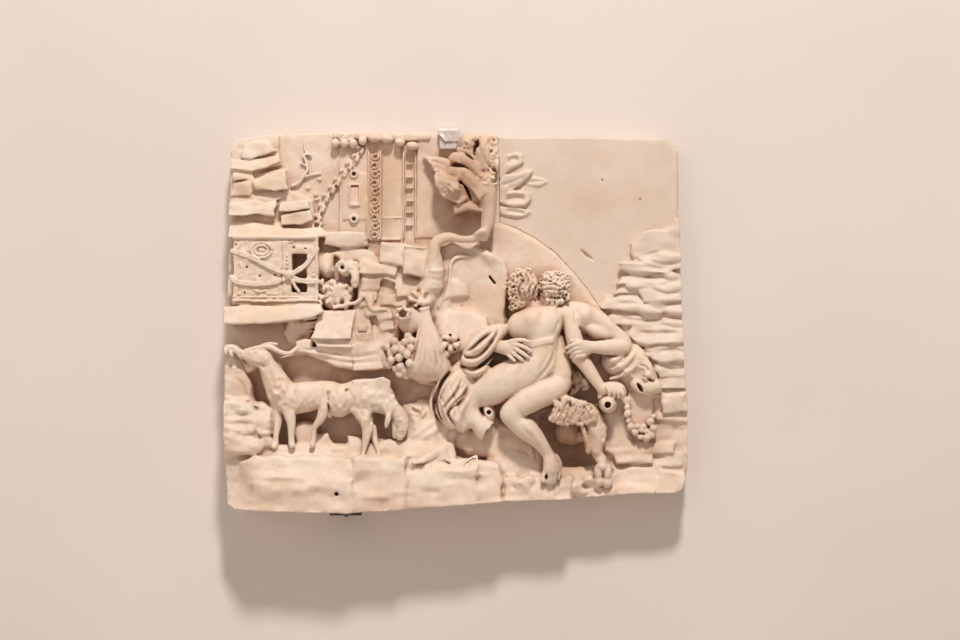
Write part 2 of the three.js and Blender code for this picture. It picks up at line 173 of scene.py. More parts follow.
def limb(stations, flat=1.0, sink=0.5, steps=3, rough=0.0):
    """A round body along stations of x, z, depth and radius. flat under 1 makes it thinner in depth
    at the front, and sink under 1 carries its back half further into the stone."""
    path = [np.array(station, np.float32) for station in smooth_path(stations, steps)]
    radii = [max(0.2, float(station[3])) for station in path]

    def distance(x, z, d):
        total = None
        for start, stop, r0, r1 in zip(path, path[1:], radii, radii[1:]):
            run = stop[:3] - start[:3]
            length = max(1e-6, float(run @ run))
            px, pz, pd = x - start[0], z - start[1], d - start[2]
            t = np.clip((px * run[0] + pz * run[1] + pd * run[2]) / length, 0, 1)
            px, pz, pd = px - t * run[0], pz - t * run[1], pd - t * run[2]
            pd = pd * np.where(pd > 0, 1 / flat, sink)
            new = np.sqrt(px * px + pz * pz + pd * pd) - (r0 + t * (r1 - r0))
            total = new if total is None else np.minimum(total, new)
        return total

    low, high = spread([p[:3] for p in path], [r / min(sink, 1) if sink else r for r in radii])
    return distance, low, high, rough


def boss(x0, z0, depth, wide, tall, thick, turn=0.0, sink=0.5, rough=0.0):
    """An egg-shaped form of half width, half height and half thickness, turned in the plane of the
    panel by degrees."""
    c, s = math.cos(math.radians(turn)), math.sin(math.radians(turn))

    def distance(x, z, d):
        px, pz = x - x0, z - z0
        px, pz = px * c + pz * s, pz * c - px * s
        pd = d - depth
        pd = pd * np.where(pd > 0, 1, sink)
        size = np.sqrt((px / wide) ** 2 + (pz / tall) ** 2 + (pd / thick) ** 2)
        steep = np.sqrt((px / wide**2) ** 2 + (pz / tall**2) ** 2 + (pd / thick**2) ** 2)
        return size * (size - 1) / (steep + 1e-6)

    reach = max(wide, tall)
    deep = thick / min(1, sink)
    return distance, (x0 - reach, z0 - reach, depth - deep), (x0 + reach, z0 + reach, depth + deep), rough


def block(x0, z0, wide, tall, front, back=10, turn=0.0, lean=0.0, soft=2.0, rough=1.2):
    """A worn block between two depths. lean tips its face back towards the top, as rise over run."""
    c, s = math.cos(math.radians(turn)), math.sin(math.radians(turn))
    half = (wide / 2 - soft, tall / 2 - soft, (front - back) / 2 - soft)
    middle = (front + back) / 2

    def distance(x, z, d):
        px, pz = x - x0, z - z0
        px, pz = px * c + pz * s, pz * c - px * s
        pd = d - middle + lean * pz
        qx, qz, qd = np.abs(px) - half[0], np.abs(pz) - half[1], np.abs(pd) - half[2]
        outside = np.sqrt(np.maximum(qx, 0) ** 2 + np.maximum(qz, 0) ** 2 + np.maximum(qd, 0) ** 2)
        return outside + np.minimum(np.maximum(np.maximum(qx, qz), qd), 0) - soft

    w, t = abs(wide / 2 * c) + abs(tall / 2 * s), abs(wide / 2 * s) + abs(tall / 2 * c)
    deep = abs(lean) * tall / 2
    return distance, (x0 - w, z0 - t, back - deep), (x0 + w, z0 + t, front + deep), rough


def drill(x0, z0, radius, floor):
    """A round hole straight back to a depth."""

    def distance(x, z, d):
        side = np.sqrt((x - x0) ** 2 + (z - z0) ** 2) - radius
        return np.maximum(side, floor - d)

    return distance, (x0 - radius, z0 - radius, floor), (x0 + radius, z0 + radius, 100), 0.0


def outline_distance(points, x, z):
    """Signed distance in the plane of the panel to a closed outline, negative inside."""
    nearest = None
    inside = np.zeros(np.broadcast(x, z).shape, bool)
    for (x0, z0), (x1, z1) in zip(points, points[1:] + points[:1]):
        run = (x1 - x0, z1 - z0)
        t = np.clip(((x - x0) * run[0] + (z - z0) * run[1]) / (run[0] ** 2 + run[1] ** 2), 0, 1)
        gap = (x - x0 - t * run[0]) ** 2 + (z - z0 - t * run[1]) ** 2
        nearest = gap if nearest is None else np.minimum(nearest, gap)
        if z0 != z1:
            crosses = (z0 > z) != (z1 > z)
            inside ^= crosses & (x < x0 + (z - z0) * run[0] / run[1])
    return np.where(inside, -1, 1) * np.sqrt(nearest)


def plate(points, front, back=-5, soft=1.0, rough=0.0, lean=0.0):
    """A flat form with a free outline of x, z corners, its edge eased by soft."""
    points = [tuple(point) for point in points]
    xs, zs = [p[0] for p in points], [p[1] for p in points]
    z_mean = (min(zs) + max(zs)) / 2

    def distance(x, z, d):
        side = outline_distance(points, x, z) + soft
        ends = np.maximum(d + lean * (z - z_mean) - front, back - d) + soft
        outside = np.sqrt(np.maximum(side, 0) ** 2 + np.maximum(ends, 0) ** 2)
        return outside + np.minimum(np.maximum(side, ends), 0) - soft

    deep = front + abs(lean) * (max(zs) - min(zs)) / 2
    return distance, (min(xs), min(zs), back), (max(xs), max(zs), deep), rough


def plan_distance(path, x, z):
    """Distance in the plane of the panel to a line of stations, and the share of the way along."""
    nearest, share = None, None
    total = len(path) - 1
    for i, (start, stop) in enumerate(zip(path, path[1:])):
        run = stop[:2] - start[:2]
        length = max(1e-6, float(run @ run))
        t = np.clip(((x - start[0]) * run[0] + (z - start[1]) * run[1]) / length, 0, 1)
        gap = (x - start[0] - t * run[0]) ** 2 + (z - start[1] - t * run[1]) ** 2
        if nearest is None:
            nearest, share = gap, (i + t) / total
        else:
            closer = gap < nearest
            nearest, share = np.where(closer, gap, nearest), np.where(closer, (i + t) / total, share)
    return np.sqrt(nearest), share


def trace(stone, stations, width, height, floor=20.0, taper=0.25, steps=4):
    """Raises a rounded fold along a line on whatever surface is there, or sinks a groove with a
    negative height. It leaves alone what lies deeper than floor, and fades out at both ends."""
    path = [np.array(station[:2], np.float32) for station in smooth_path(stations, steps)]
    low, high = np.min(path, axis=0), np.max(path, axis=0)
    reach = FOLD_REACH * width
    where = stone.window((*low, floor), (*high, GRID_FRONT), reach)
    x = stone.lines[0][where[0]][:, None]
    z = stone.lines[1][where[1]][None, :]
    gap, share = plan_distance(path, x, z)
    profile = np.clip(1 - gap / reach, 0, 1)
    profile = profile * profile * (3 - 2 * profile)
    if taper:
        profile = profile * np.clip(np.minimum(share, 1 - share) / taper, 0.15, 1)
    d = stone.lines[2][where[2]]
    front = np.clip((d - floor) / 2, 0, 1)
    stone.field[where] -= height * profile[:, :, None] * front[None, None, :]


def texture(stone, outline, amount, size, seed, stretch=(1.0, 1.0),
        floor=20.0, ceiling=GRID_FRONT, edge=6.0):
    """Roughens the surface inside an outline: bumps of a size, drawn out by stretch along x and z."""
    xs, zs = [p[0] for p in outline], [p[1] for p in outline]
    where = stone.window((min(xs), min(zs), floor), (max(xs), max(zs), ceiling), 2)
    x = stone.lines[0][where[0]][:, None]
    z = stone.lines[1][where[1]][None, :]
    inside = np.clip(-outline_distance([tuple(p) for p in outline], x, z) / edge, 0, 1)
    bumps = lattice_noise((x.size, z.size), (size * stretch[0], size * stretch[1]), seed)
    d = stone.lines[2][where[2]]
    front = np.clip((d - floor) / 2, 0, 1) * np.clip((ceiling - d) / 2, 0, 1)
    stone.field[where] -= amount * (bumps * inside)[:, :, None] * front[None, None, :]


def place_mesh(name, shell):
    """Turns a bmesh into an object of the scene."""
    mesh = bpy.data.meshes.new(name)
    shell.to_mesh(mesh)
    shell.free()
    obj = bpy.data.objects.new(name, mesh)
    bpy.context.scene.collection.objects.link(obj)
    return obj


# ---- the panel's own sizes -----------------------------------------------------------------------
OUTLINE = [
    (-251.5, -201.5), (-243, -206.5), (-172, -208.5), (-117, -209.5), (-62, -206.5), (-7, -202.5),
    (48, -198.5), (114, -196.5), (158, -193.5), (202, -190.5), (242, -190.5), (249.5, -186),
    (256.5, -164), (256, -128), (256.5, -87), (253.5, -70), (249.5, 23), (246.5, 188),
    (232.5, 203), (45, 205.5), (-138, 209.5), (-188, 208), (-216, 205.5), (-245.5, 200.5),
    (-250.5, 190), (-252.5, 100), (-256.5, -10), (-255.5, -70), (-256.5, -131),
]

# The joint of the corner block, from the top edge down to the right edge.
JOINT = [
    (46, 215), (45.5, 196), (47.5, 175), (47, 150), (48, 109), (66, 103), (87, 92), (109, 76),
    (131, 53), (147, 33), (158, 16), (172, -1), (190, -16), (208, -34), (219, -56), (227, -75),
    (270, -75),
]


def ring(x0, z0, depth, radius, wire, start=0.0, turn=360.0):
    """A ring, or part of one, as a limb of ten straight runs."""
    count = 10
    stations = []
    for i in range(count + 1):
        angle = math.radians(start + turn * i / count)
        stations.append((x0 + radius * math.cos(angle), z0 + radius * math.sin(angle), depth, wire))
    return limb(stations, steps=1, sink=0.4)


def beads(stone, stations, radius, depth_radius, blend=0.6):
    """Round beads or fruits at stations of x, z and depth."""
    for x0, z0, depth in stations:
        stone.add(boss(x0, z0, depth, radius, radius, depth_radius, sink=0.4, rough=0.4), blend)


def carve_crag(stone):
    """The stepped crag in the upper left corner: worn slabs of rock, each with an overhanging foot."""
    slabs = [
        ([(-253, 208), (-253, 176), (-226, 181), (-198, 186), (-197, 207)], 33, 0.02),
        ([(-238, 181), (-237, 192), (-228, 198), (-214, 199), (-205, 195), (-198, 189), (-211, 184),
            (-228, 179)], 40, 0.25),
        ([(-251, 168), (-250, 178), (-227, 180), (-197, 185), (-196, 177), (-211, 170), (-226, 165)],
            40, 0.35),
        ([(-249, 155), (-249, 167), (-225, 168), (-223, 156)], 38, 0.3),
        ([(-226, 152), (-223, 157), (-209, 162), (-189, 168), (-187.5, 152), (-185, 146), (-200, 143.5),
            (-223, 145)], 47, 0.1),
        ([(-250, 137), (-249, 153), (-223, 157), (-224, 148), (-228, 138)], 40, 0.12),
        ([(-252, 128), (-223, 128), (-196, 134), (-186, 144), (-224, 146), (-230, 138), (-252, 140)],
            37, 0.3),
        ([(-252, 116), (-252, 130), (-228, 133), (-213, 131), (-200, 134), (-198, 128), (-202, 121),
            (-200, 115), (-218, 117)], 48, 0.28),
        ([(-196, 121), (-195, 130), (-183, 134), (-165, 133), (-162, 125), (-176, 122)], 43, 0.3),
        ([(-195, 105), (-195, 116), (-176, 121), (-162, 123), (-158, 112), (-172, 106)], 43, 0.2),
        ([(-252, 92), (-252, 110), (-195, 109), (-192, 102), (-158, 104), (-148, 103.5), (-140, 95),
            (-151, 92)], 42, 0.55),
        ([(-143, 89), (-143, 99), (-118, 99), (-102, 97.5), (-99, 91), (-104, 87)], 46, 0.2),
    ]
    stone.add(plate([(-253, 90), (-253, 206), (-199, 206), (-190, 148), (-160, 134), (-157, 104),
        (-140, 94)], 35, 15, soft=2, rough=1.0), 3)
    for outline, front, lean in slabs:
        stone.add(plate(outline, 0.78 * front + 9, 20, soft=1.8, rough=1.5, lean=0.8 * lean), 1.8)
    texture(stone, [(-254, 112), (-254, 206), (-197, 206), (-186, 148), (-160, 134), (-157, 112)],
        0.8, 4.5, 51, stretch=(4, 1), floor=30)
    texture(stone, [(-254, 90), (-254, 206), (-197, 206), (-140, 104), (-140, 90)], 0.7, 11, 52, floor=30)
    # The long rounded bed of rock beside the shrine, with a hollow under it.
    stone.add(plate([(-146, 84), (-144, 100), (-120, 99), (-101, 95), (-99, 84), (-120, 80)],
        44, 20, soft=5, rough=1.6, lean=0.25), 3)
    stone.add(plate([(-139, 74), (-128, 81), (-104, 82), (-90, 76), (-84, 66), (-86, 60), (-104, 66),
        (-128, 66)], 41, 20, soft=4, rough=1.4, lean=0.1), 3)
    # Seams where one bed of rock lies on the next.
    for seam in (
        [(-251, 114.5, 40, 1.2), (-225, 115, 42, 1.6), (-200, 115, 42, 1.2)],
        [(-223, 144, 41, 1.0), (-200, 142.5, 43, 1.5), (-186, 145, 42, 1.2)],
        [(-222, 163.5, 36, 1.0), (-205, 168.5, 36, 2.2), (-191, 171, 34, 1.5)],
        [(-236, 178.5, 36, 0.8), (-215, 181.5, 37, 1.0), (-199, 187, 36, 0.8)],
    ):
        stone.cut(limb(seam, sink=0.4), 1)
    # The bare twig beside it, and tufts on the ground to its right.
    twigs = (
        [(-183, 150, 33, 1.6), (-175, 153.5, 33.5, 1.9), (-170.5, 160, 33.5, 1.8), (-165.5, 167, 33.5, 1.6),
         (-165.5, 172, 33.5, 1.5), (-167, 179, 33.5, 1.5), (-169.5, 183.5, 33.5, 1.4),
             (-164, 185.5, 33.5, 1.4),
         (-161, 182.5, 33, 1.0)],
        [(-170.5, 160, 33, 1.4), (-158, 162.5, 32.5, 1.2), (-151, 163, 32, 0.9)],
        [(-165.5, 172, 33, 1.3), (-172.5, 175.5, 32.5, 0.9)],
        [(-169.5, 199, 31.5, 1.0), (-168, 190, 32, 1.2), (-165.5, 186, 32.5, 1.2)],
    )
    for twig in twigs:
        stone.add(limb(twig, rough=0.5), 1.2)
    for x0, z0 in ((-165.5, 147.5), (-165.5, 137), (-156.5, 139.5), (-155.5, 134.5), (-148, 130),
            (-152, 157)):
        stone.add(boss(x0, z0, 31, 2.6, 1.8, 2.2, rough=0.8), 1.5)


def carve_gate(stone):
    """The gate behind the shrine: drilled and ringed pilasters, an arched panel and a garland."""
    stone.add(block(-96, 150, 68, 122, 32.5, 10, soft=1, rough=0.3), 1)
    stone.add(block(-113, 138, 27, 52, 34, 10, soft=0.8, rough=0.2), 0.8)
    # Ringed pilaster between two raised borders, then the sunk arch, then the dotted band.
    for x0, wide, front in ((-98, 2.0, 35.5), (-84.4, 1.6, 35.5), (-58.6, 1.4, 35), (-45.6, 1.4, 35)):
        stone.add(block(x0, 140, wide, 98, front, 20, soft=0.5, rough=0.3), 0.6)
    stone.cut(plate([(-83, 92), (-83, 186), (-79, 191), (-70, 193), (-63, 188), (-60, 178), (-60, 92)],
        60, 30.8, soft=0.8), 0.8)
    stone.add(block(-71.5, 114.5, 22, 1.2, 32, 20, soft=0.4, rough=0.3), 0.8)
    for i in range(10):
        z0 = 182 - 9.6 * i
        side = -90.6 + 0.4 * (-1) ** i
        stone.add(ring(side, z0, 34, 3.3, 1.1, start=60 + 180 * (i % 2), turn=300), 0.5)
        stone.cut(drill(side, z0, 1.2, 31), 0.5)
        stone.add(boss(-94.6 + 8 * (i % 2), z0 - 4.8, 34, 1.0, 1.6, 1.3), 0.5)
    for i, z0 in enumerate((180, 153.5, 126.5, 100)):
        stone.add(boss(-52, z0, 34, 3, 3, 1.6), 0.6)
        stone.cut(drill(-52, z0, 1.2, 30.5), 0.4)
        if i < 3:
            stone.cut(block(-52, z0 - 13, 5.2, 13.5, 60, 31.6, soft=0.5, rough=0.2), 0.4)
            stone.add(block(-52, z0 - 6, 8, 1.3, 35, 20, soft=0.4, rough=0.2), 0.4)
            stone.add(block(-52, z0 - 20.6, 8, 1.3, 35, 20, soft=0.4, rough=0.2), 0.4)
    # Two drilled rings with a sunk slot between them.
    for z0 in (163, 113):
        stone.add(ring(-113.8, z0, 35, 3.7, 1.5), 0.6)
        stone.cut(drill(-113.8, z0, 2.2, 29), 0.5)
    stone.add(block(-113, 141, 13, 22, 35.3, 20, soft=0.8, rough=0.2), 0.8)
    stone.cut(block(-113, 141.5, 8.6, 18, 60, 33.2, soft=0.6, rough=0.2), 0.4)
    stone.cut(block(-113, 149.3, 8.2, 1.8, 60, 30.5, soft=0.4, rough=0), 0.3)
    stone.add(boss(-113, 128.5, 35, 6.5, 1.8, 2), 1)
    stone.cut(limb([(-129.5, 188, 33, 0.7), (-129.3, 174, 33, 0.7)]), 0.5)
    stone.cut(limb([(-126.8, 162, 34, 0.7), (-126.8, 114, 34, 0.8)]), 0.5)
    # The garland: a cornice with two rosettes, oval beads, and a string of beads hanging to the left.
    stone.add(block(-104, 206, 66, 8, 37, 10, soft=1.2, rough=0.6), 1)
    stone.add(block(-60, 204, 60, 8, 35, 10, soft=1.5, rough=1.0), 1)
    for x0 in (-126.8, -117.8):
        stone.add(ring(x0, 203.8, 39, 3.0, 1.4), 0.5)
        stone.add(boss(x0, 203.8, 39.5, 1.3, 1.3, 1.3), 0.4)
        stone.cut(ring(x0, 203.8, 40.5, 1.8, 0.5), 0.3)
    beads(stone, [(-134, 197, 38), (-124.2, 197, 39), (-114.5, 196.5, 39.5), (-104, 199.5, 39)], 4.9, 5)
    for x0, z0, wide, tall in ((-91, 202, 7.5, 4.6), (-77, 201.5, 7, 4.8), (-63, 197.5, 6, 4.2),
            (-48.7, 194, 7, 4.6)):
        stone.add(boss(x0, z0, 39, wide, tall, 6, turn=-8, sink=0.4, rough=0.5), 0.8)
    string = [(-106.6, 191.5), (-112, 182.5), (-119, 173.5), (-125, 165), (-132, 156), (-138, 147.5),
              (-144.3, 138), (-149, 127), (-153.8, 116), (-153, 109)]
    for i, (x0, z0) in enumerate(string):
        for side, turn in ((-1, 20), (1, 80)):
            leaf_x, leaf_z = x0 + 2.4 * side, z0 - 1.4 * side
            stone.add(boss(leaf_x, leaf_z, 35.5 - 0.3 * i, 3.3 - 0.1 * i, 2.0, 3.0,
                turn=turn + 12 * (i % 3), sink=0.4, rough=0.6), 0.6)
        stone.add(boss(x0 + 1, z0 - 4.6, 36 - 0.3 * i, 2.0, 2.0, 2.4, sink=0.4, rough=0.5), 0.6)
    stone.add(limb([(x0, z0, 32.5, 1.6) for x0, z0 in string], steps=1), 1)


def carve_shrine(stone):
    """The shrine box: a chest with a wreath and a pierced window, tied with knotted straps."""
    stone.add(block(-199.5, 56, 93, 76, 50, 10, soft=1.6, rough=0.7), 1)
    stone.add(block(-199.5, 92.5, 95, 4, 52.5, 10, soft=1.2, rough=0.6), 0.8)
    stone.add(block(-153.6, 56, 3, 72, 52, 10, soft=0.8, rough=0.5), 0.8)
    stone.add(block(-190.8, 62, 2.2, 62, 51.5, 10, soft=0.8, rough=0.3), 0.8)
    for z0, front, tall in ((26.5, 51.5, 2), (22.5, 53, 3.4), (18.5, 51, 3)):
        stone.add(block(-200, z0, 94, tall, front, 10, soft=1, rough=0.6), 0.6)
    # The window: two deep openings with a bar between.
    stone.cut(block(-173, 60.5, 16.5, 27, 80, 22, soft=0.8, rough=0.3), 0.6)
    stone.cut(block(-173, 36.5, 17, 10, 80, 24, soft=0.8, rough=0.3), 0.6)
    stone.cut(block(-171.5, 86, 27, 7, 80, 49, soft=0.5, rough=0.2), 0.4)
    for i in range(9):
        stone.add(boss(-183 + 2.9 * i, 87.6, 49.6, 1.2, 1.2, 1.4), 0.3)
    for i in range(7):
        stone.add(boss(-157.6, 72 - 4.4 * i, 50.4, 1.1, 1.6, 1.2), 0.3)
        stone.add(boss(-186.5, 72 - 4.4 * i, 50.4, 1.1, 1.6, 1.2), 0.3)
    for x0, z0 in ((-179, 81), (-166.3, 79.6), (-231, 59.5), (-217, 49.5), (-200, 50.5), (-233, 31),
            (-209, 31), (-243, 84)):
        stone.cut(drill(x0, z0, 1.3, 46.5), 0.4)
    # The wreath of leaves and the crumbled ornament round it.
    for turn, (wide, tall) in enumerate(((11.6, 8.2), (7.0, 4.6))):
        count = 20 - 6 * turn
        for i in range(count):
            angle = 2 * math.pi * i / count
            x0, z0 = -214.5 + wide * math.cos(angle), 78 + tall * math.sin(angle)
            stone.add(boss(x0, z0, 51, 1.9, 1.1, 1.6, turn=math.degrees(angle) + 60, rough=0.3), 0.4)
    stone.add(boss(-214.5, 78, 50.5, 4.5, 2.4, 1.6, rough=0.5), 0.8)
    marking = np.random.default_rng(11)
    for _ in range(46):
        x0, z0 = marking.uniform(-243, -194), marking.uniform(28, 90)
        size = marking.uniform(1.0, 2.2)
        stone.add(boss(x0, z0, 49.8, size * 1.4, size, 1.3, turn=marking.uniform(0, 180), rough=0.8), 0.8)
    # The straps, three cords wide, tied in a knot to the right of the middle.
    straps = (
        [(-186, 51.5, 51.5), (-206, 59.5, 52), (-224, 69, 52), (-247, 77, 50)],
        [(-186, 48, 51.5), (-201, 42, 52), (-224, 40.5, 52), (-242, 43, 51.5), (-248, 48.5, 50)],
        [(-181, 52, 52), (-167.3, 60.5, 52), (-160.3, 69.5, 52), (-153.4, 79, 51)],
        [(-180, 47, 52), (-167.3, 43.5, 52), (-152.5, 43.5, 51)],
    )
    for strap in straps:
        stone.add(limb([(*station, 2.7) for station in strap], flat=0.75), 0.6)
        trace(stone, [(x0, z0) for x0, z0, _ in strap], 0.6, -1.6, floor=44, taper=0)
    stone.add(limb([(-182, 47, 52, 2.0), (-177.5, 38, 52, 1.7), (-173, 32.5, 51, 1.4)], flat=0.8), 0.6)
    stone.add(boss(-184.4, 50.5, 53, 5.2, 5.4, 4.4, rough=0.6), 0.8)
    for shift in (-2.2, 0, 2.2):
        trace(stone, [(-189, 50.5 + shift), (-184, 52 + shift), (-180, 50 + shift)], 0.6, -1.1, floor=46)
    # Raised rings and bows worked on the left half.
    for wide, tall, x0, z0, start, stop in (
        (11.5, 8.6, -215, 78, 0, 360), (8.2, 5.6, -215, 78, 0, 360), (12, 10, -217, 12, 40, 140),
            (9, 6, -216, 38, 190, 350),
        (13, 8, -216, 20, 50, 130), (6, 4, -216, 36, 190, 350),
    ):
        arc = [(x0 + wide * math.cos(math.radians(a)),
            z0 + tall * math.sin(math.radians(a))) for a in range(start, stop + 1, 15)]
        trace(stone, arc, 0.8, 1.1, floor=46, taper=0.05, steps=1)
    for x0 in (-240, -192.5):
        trace(stone, [(x0, 88), (x0, 28)], 0.7, -0.9, floor=46, taper=0.02, steps=1)
    for z0 in (88.6, 27.6):
        trace(stone, [(-243, z0), (-156, z0)], 0.7, -0.9, floor=46, taper=0.02, steps=1)
    texture(stone, [(-247, 18), (-247, 94), (-153, 94), (-153, 18)], 0.45, 3.4, 53, floor=46)
    texture(stone, [(-257, -4), (-257, 20), (-148, 20), (-146, 8)], 0.8, 12, 54, stretch=(2.5, 1), floor=30)


def carve_middle_rocks(stone):
    """The ledge under the shrine, the rock mass in the middle and the stacked blocks beside it."""
    stone.cut(plate([(-257, -1), (-150, 2), (-158, -24), (-172, -30), (-205, -30), (-257, -26)],
        AIR, 36, soft=6, rough=2.5), 5)
    stone.add(plate([(-256, -3), (-256, 15), (-226, 17), (-149, 17), (-146, 10), (-158, 4), (-185, -1),
        (-214, -3)], 62, 15, soft=3, rough=1.5, lean=0.35), 2)
    stone.add(plate([(-256, 10), (-256, 16), (-150, 18), (-150, 12)], 58, 15, soft=2, rough=1), 2)
    for i in range(4):
        stone.add(block(-161 + 1.5 * i, 3 - 4.6 * i, 17 - 2 * i, 4, 52 - 3 * i, 15, turn=12, soft=1.5), 1.5)
    stone.add(plate([(-184, 0), (-160, 0), (-158, -26), (-172, -32), (-186, -26), (-192, -12)],
        41, 15, soft=6, rough=2.5, lean=-0.3), 5)
    texture(stone, [(-257, -2), (-158, 0), (-158, -36), (-257, -36)], 1.2, 9, 121, stretch=(1.5, 1),
        floor=24, ceiling=60)
    stone.add(plate([(-177, -34), (-176, -24), (-167, -20), (-156, -21), (-158, -30), (-170, -35)],
        52, 15, soft=2.5, rough=1.5, lean=0.3), 2)
    # The long rounded bed that hangs over the goats' backs.
    stone.add(plate([(-200, -42), (-190, -38), (-165, -30), (-140, -24), (-100, -24), (-76, -36),
        (-76, -52), (-95, -55), (-113, -55), (-131, -51), (-148, -43), (-165, -38), (-190, -41)],
        51, 15, soft=4, rough=1.5, lean=-0.15), 3)
    # The squared block with its layered foot, and the ochre column at its right.
    stone.add(plate([(-150, 12), (-110, 12), (-116, -20), (-160, -20), (-155, -5)],
        55, 15, soft=2, rough=0.8, lean=0.35), 1.5)
    stone.add(plate([(-158, -20), (-115, -20), (-113, -30), (-152, -28)],
        56, 15, soft=1.5, rough=1.0, lean=0.2), 1)
    stone.add(plate([(-113, 18), (-107, 22), (-98, 14), (-92, -20), (-80, -52), (-113, -55), (-116, -20)],
        50, 15, soft=2, rough=1.0, lean=0.1), 1.5)
    stone.add(block(-103, -8, 9.5, 8, 53, 20, soft=1, rough=0.6), 1)
    stone.add(block(-103, -17, 15, 9, 52, 20, soft=1, rough=0.6), 1)
    stone.add(plate([(-110, 66), (-60, 66), (-33, 60), (-33, 18), (-54, 8), (-60, -24), (-74, -54),
        (-110, -54)], 42, 12, soft=3, rough=1.5), 3)
    for x0, z0, wide, tall, front in (
        (-100, 24, 14, 10, 50), (-92, 12, 14, 9, 50), (-80, 7, 16, 10, 50), (-78, -3, 14, 12, 48),
        (-72, -14, 16, 16, 46), (-84, -18, 20, 22, 47), (-82, -38, 22, 22, 48),
    ):
        stone.add(block(x0, z0, wide + 3, tall + 3, front, 15, turn=8, lean=0.2, soft=3, rough=2.2), 3)
    # Shelves under the gate, left to right.
    for x0, z0, wide, tall, front, turn in (
        (-86.5, 58, 42, 15, 48, -3), (-87, 42, 41, 19, 45, 2), (-71.5, 75, 28, 23, 48, -6),
        (-46, 66, 26.5, 33, 53, -3), (-49, 37, 34, 19, 46, 4), (-60, 24, 44, 14, 44, 4),
            (-98, 32, 22, 18, 45, 0),
    ):
        stone.add(block(x0, z0, wide, tall, front, 15, turn=turn, lean=0.2, soft=3, rough=2.0), 2.2)
    stone.cut(block(-76, 38, 17, 13, 80, 38, turn=-12, soft=2.5, rough=1.5), 2)
    stone.add(limb([(-134, 15, 50, 2.2), (-111, 20, 51, 2.4), (-102, 28.5, 51, 2.6), (-97, 22, 51, 2.4),
        (-92, 12, 51, 2.3), (-79, 13, 50, 2.2), (-72, 7, 48, 1.6)], rough=0.6), 1)
    stone.add(block(-46, 81, 24, 3, 51, 20, turn=-4, soft=1.2, rough=0.8), 0.8)
    rocks = [(-200, -56), (-200, -30), (-160, 14), (-110, 100), (-32, 84), (-34, 6), (-60, -24), (-74, -56)]
    texture(stone, rocks, 0.9, 9, 55, stretch=(1.6, 1), floor=34)
    texture(stone, rocks, 0.5, 3.5, 56, stretch=(3, 1), floor=34)
    for line in (
        [(-196, -36), (-160, -38), (-120, -46), (-80, -44)],
            [(-185, -31), (-150, -33), (-115, -40), (-82, -34)],
        [(-150, -25), (-130, -26), (-113, -26)], [(-152, -22), (-130, -22.5), (-114, -22)],
    ):
        trace(stone, line, 1.6, -1.8, floor=40)


def carve_ram(stone):
    """The ram's head and the shaggy bush under it, beside the shrine."""
    stone.add(boss(-144, 60, 37, 9, 14, 7, turn=8, rough=2.5), 5)
    stone.add(boss(-121, 57, 44, 9.5, 9, 11, rough=0.8), 1.5)
    stone.add(limb([(-117, 61, 46, 6.5), (-112.5, 54, 50, 5.2), (-112, 45, 52, 4.8), (-112, 40, 51, 4.0)],
        rough=0.5, flat=0.85), 2)
    stone.add(limb([(-111, 63, 49, 3), (-108.5, 59, 49, 2.4)]), 1.5)
    stone.add(ring(-125.3, 58.6, 54, 4.6, 2.4), 0.6)
    stone.cut(drill(-125.3, 58.6, 1.9, 44), 0.5)
    for horn, height in (([(-121, 66), (-129, 65), (-134, 59), (-133, 51), (-127, 47)], 2.0),
            ([(-122, 63), (-130, 62), (-131, 54), (-126, 50)], -1.4)):
        trace(stone, horn, 1.8, height, floor=36)
    trace(stone, [(-119, 53), (-116, 49), (-116.5, 44)], 0.8, -1.8, floor=44)
    trace(stone, [(-117, 57), (-114, 55.5), (-112, 57)], 0.7, -1.6, floor=44)
    trace(stone, [(-114.5, 40.5), (-111.5, 41.5), (-109, 40.5)], 0.6, -1.4, floor=44)
    stone.add(boss(-133, 29, 38, 19, 16.5, 12, rough=2), 2)
    shag = np.random.default_rng(5)
    for _ in range(36):
        x0, z0 = -133 + 17 * shag.uniform(-1, 1), 29 + 14 * shag.uniform(-1, 1)
        size = shag.uniform(1.4, 2.6)
        stone.add(boss(x0, z0, 48, size, size * 1.8, 2.6, turn=shag.uniform(-50, 50), rough=0.5), 0.8)
    texture(stone, [(-152, 12), (-152, 46), (-132, 50), (-114, 40), (-114, 12)],
        1.3, 3.6, 57, stretch=(1, 1.5), floor=38)


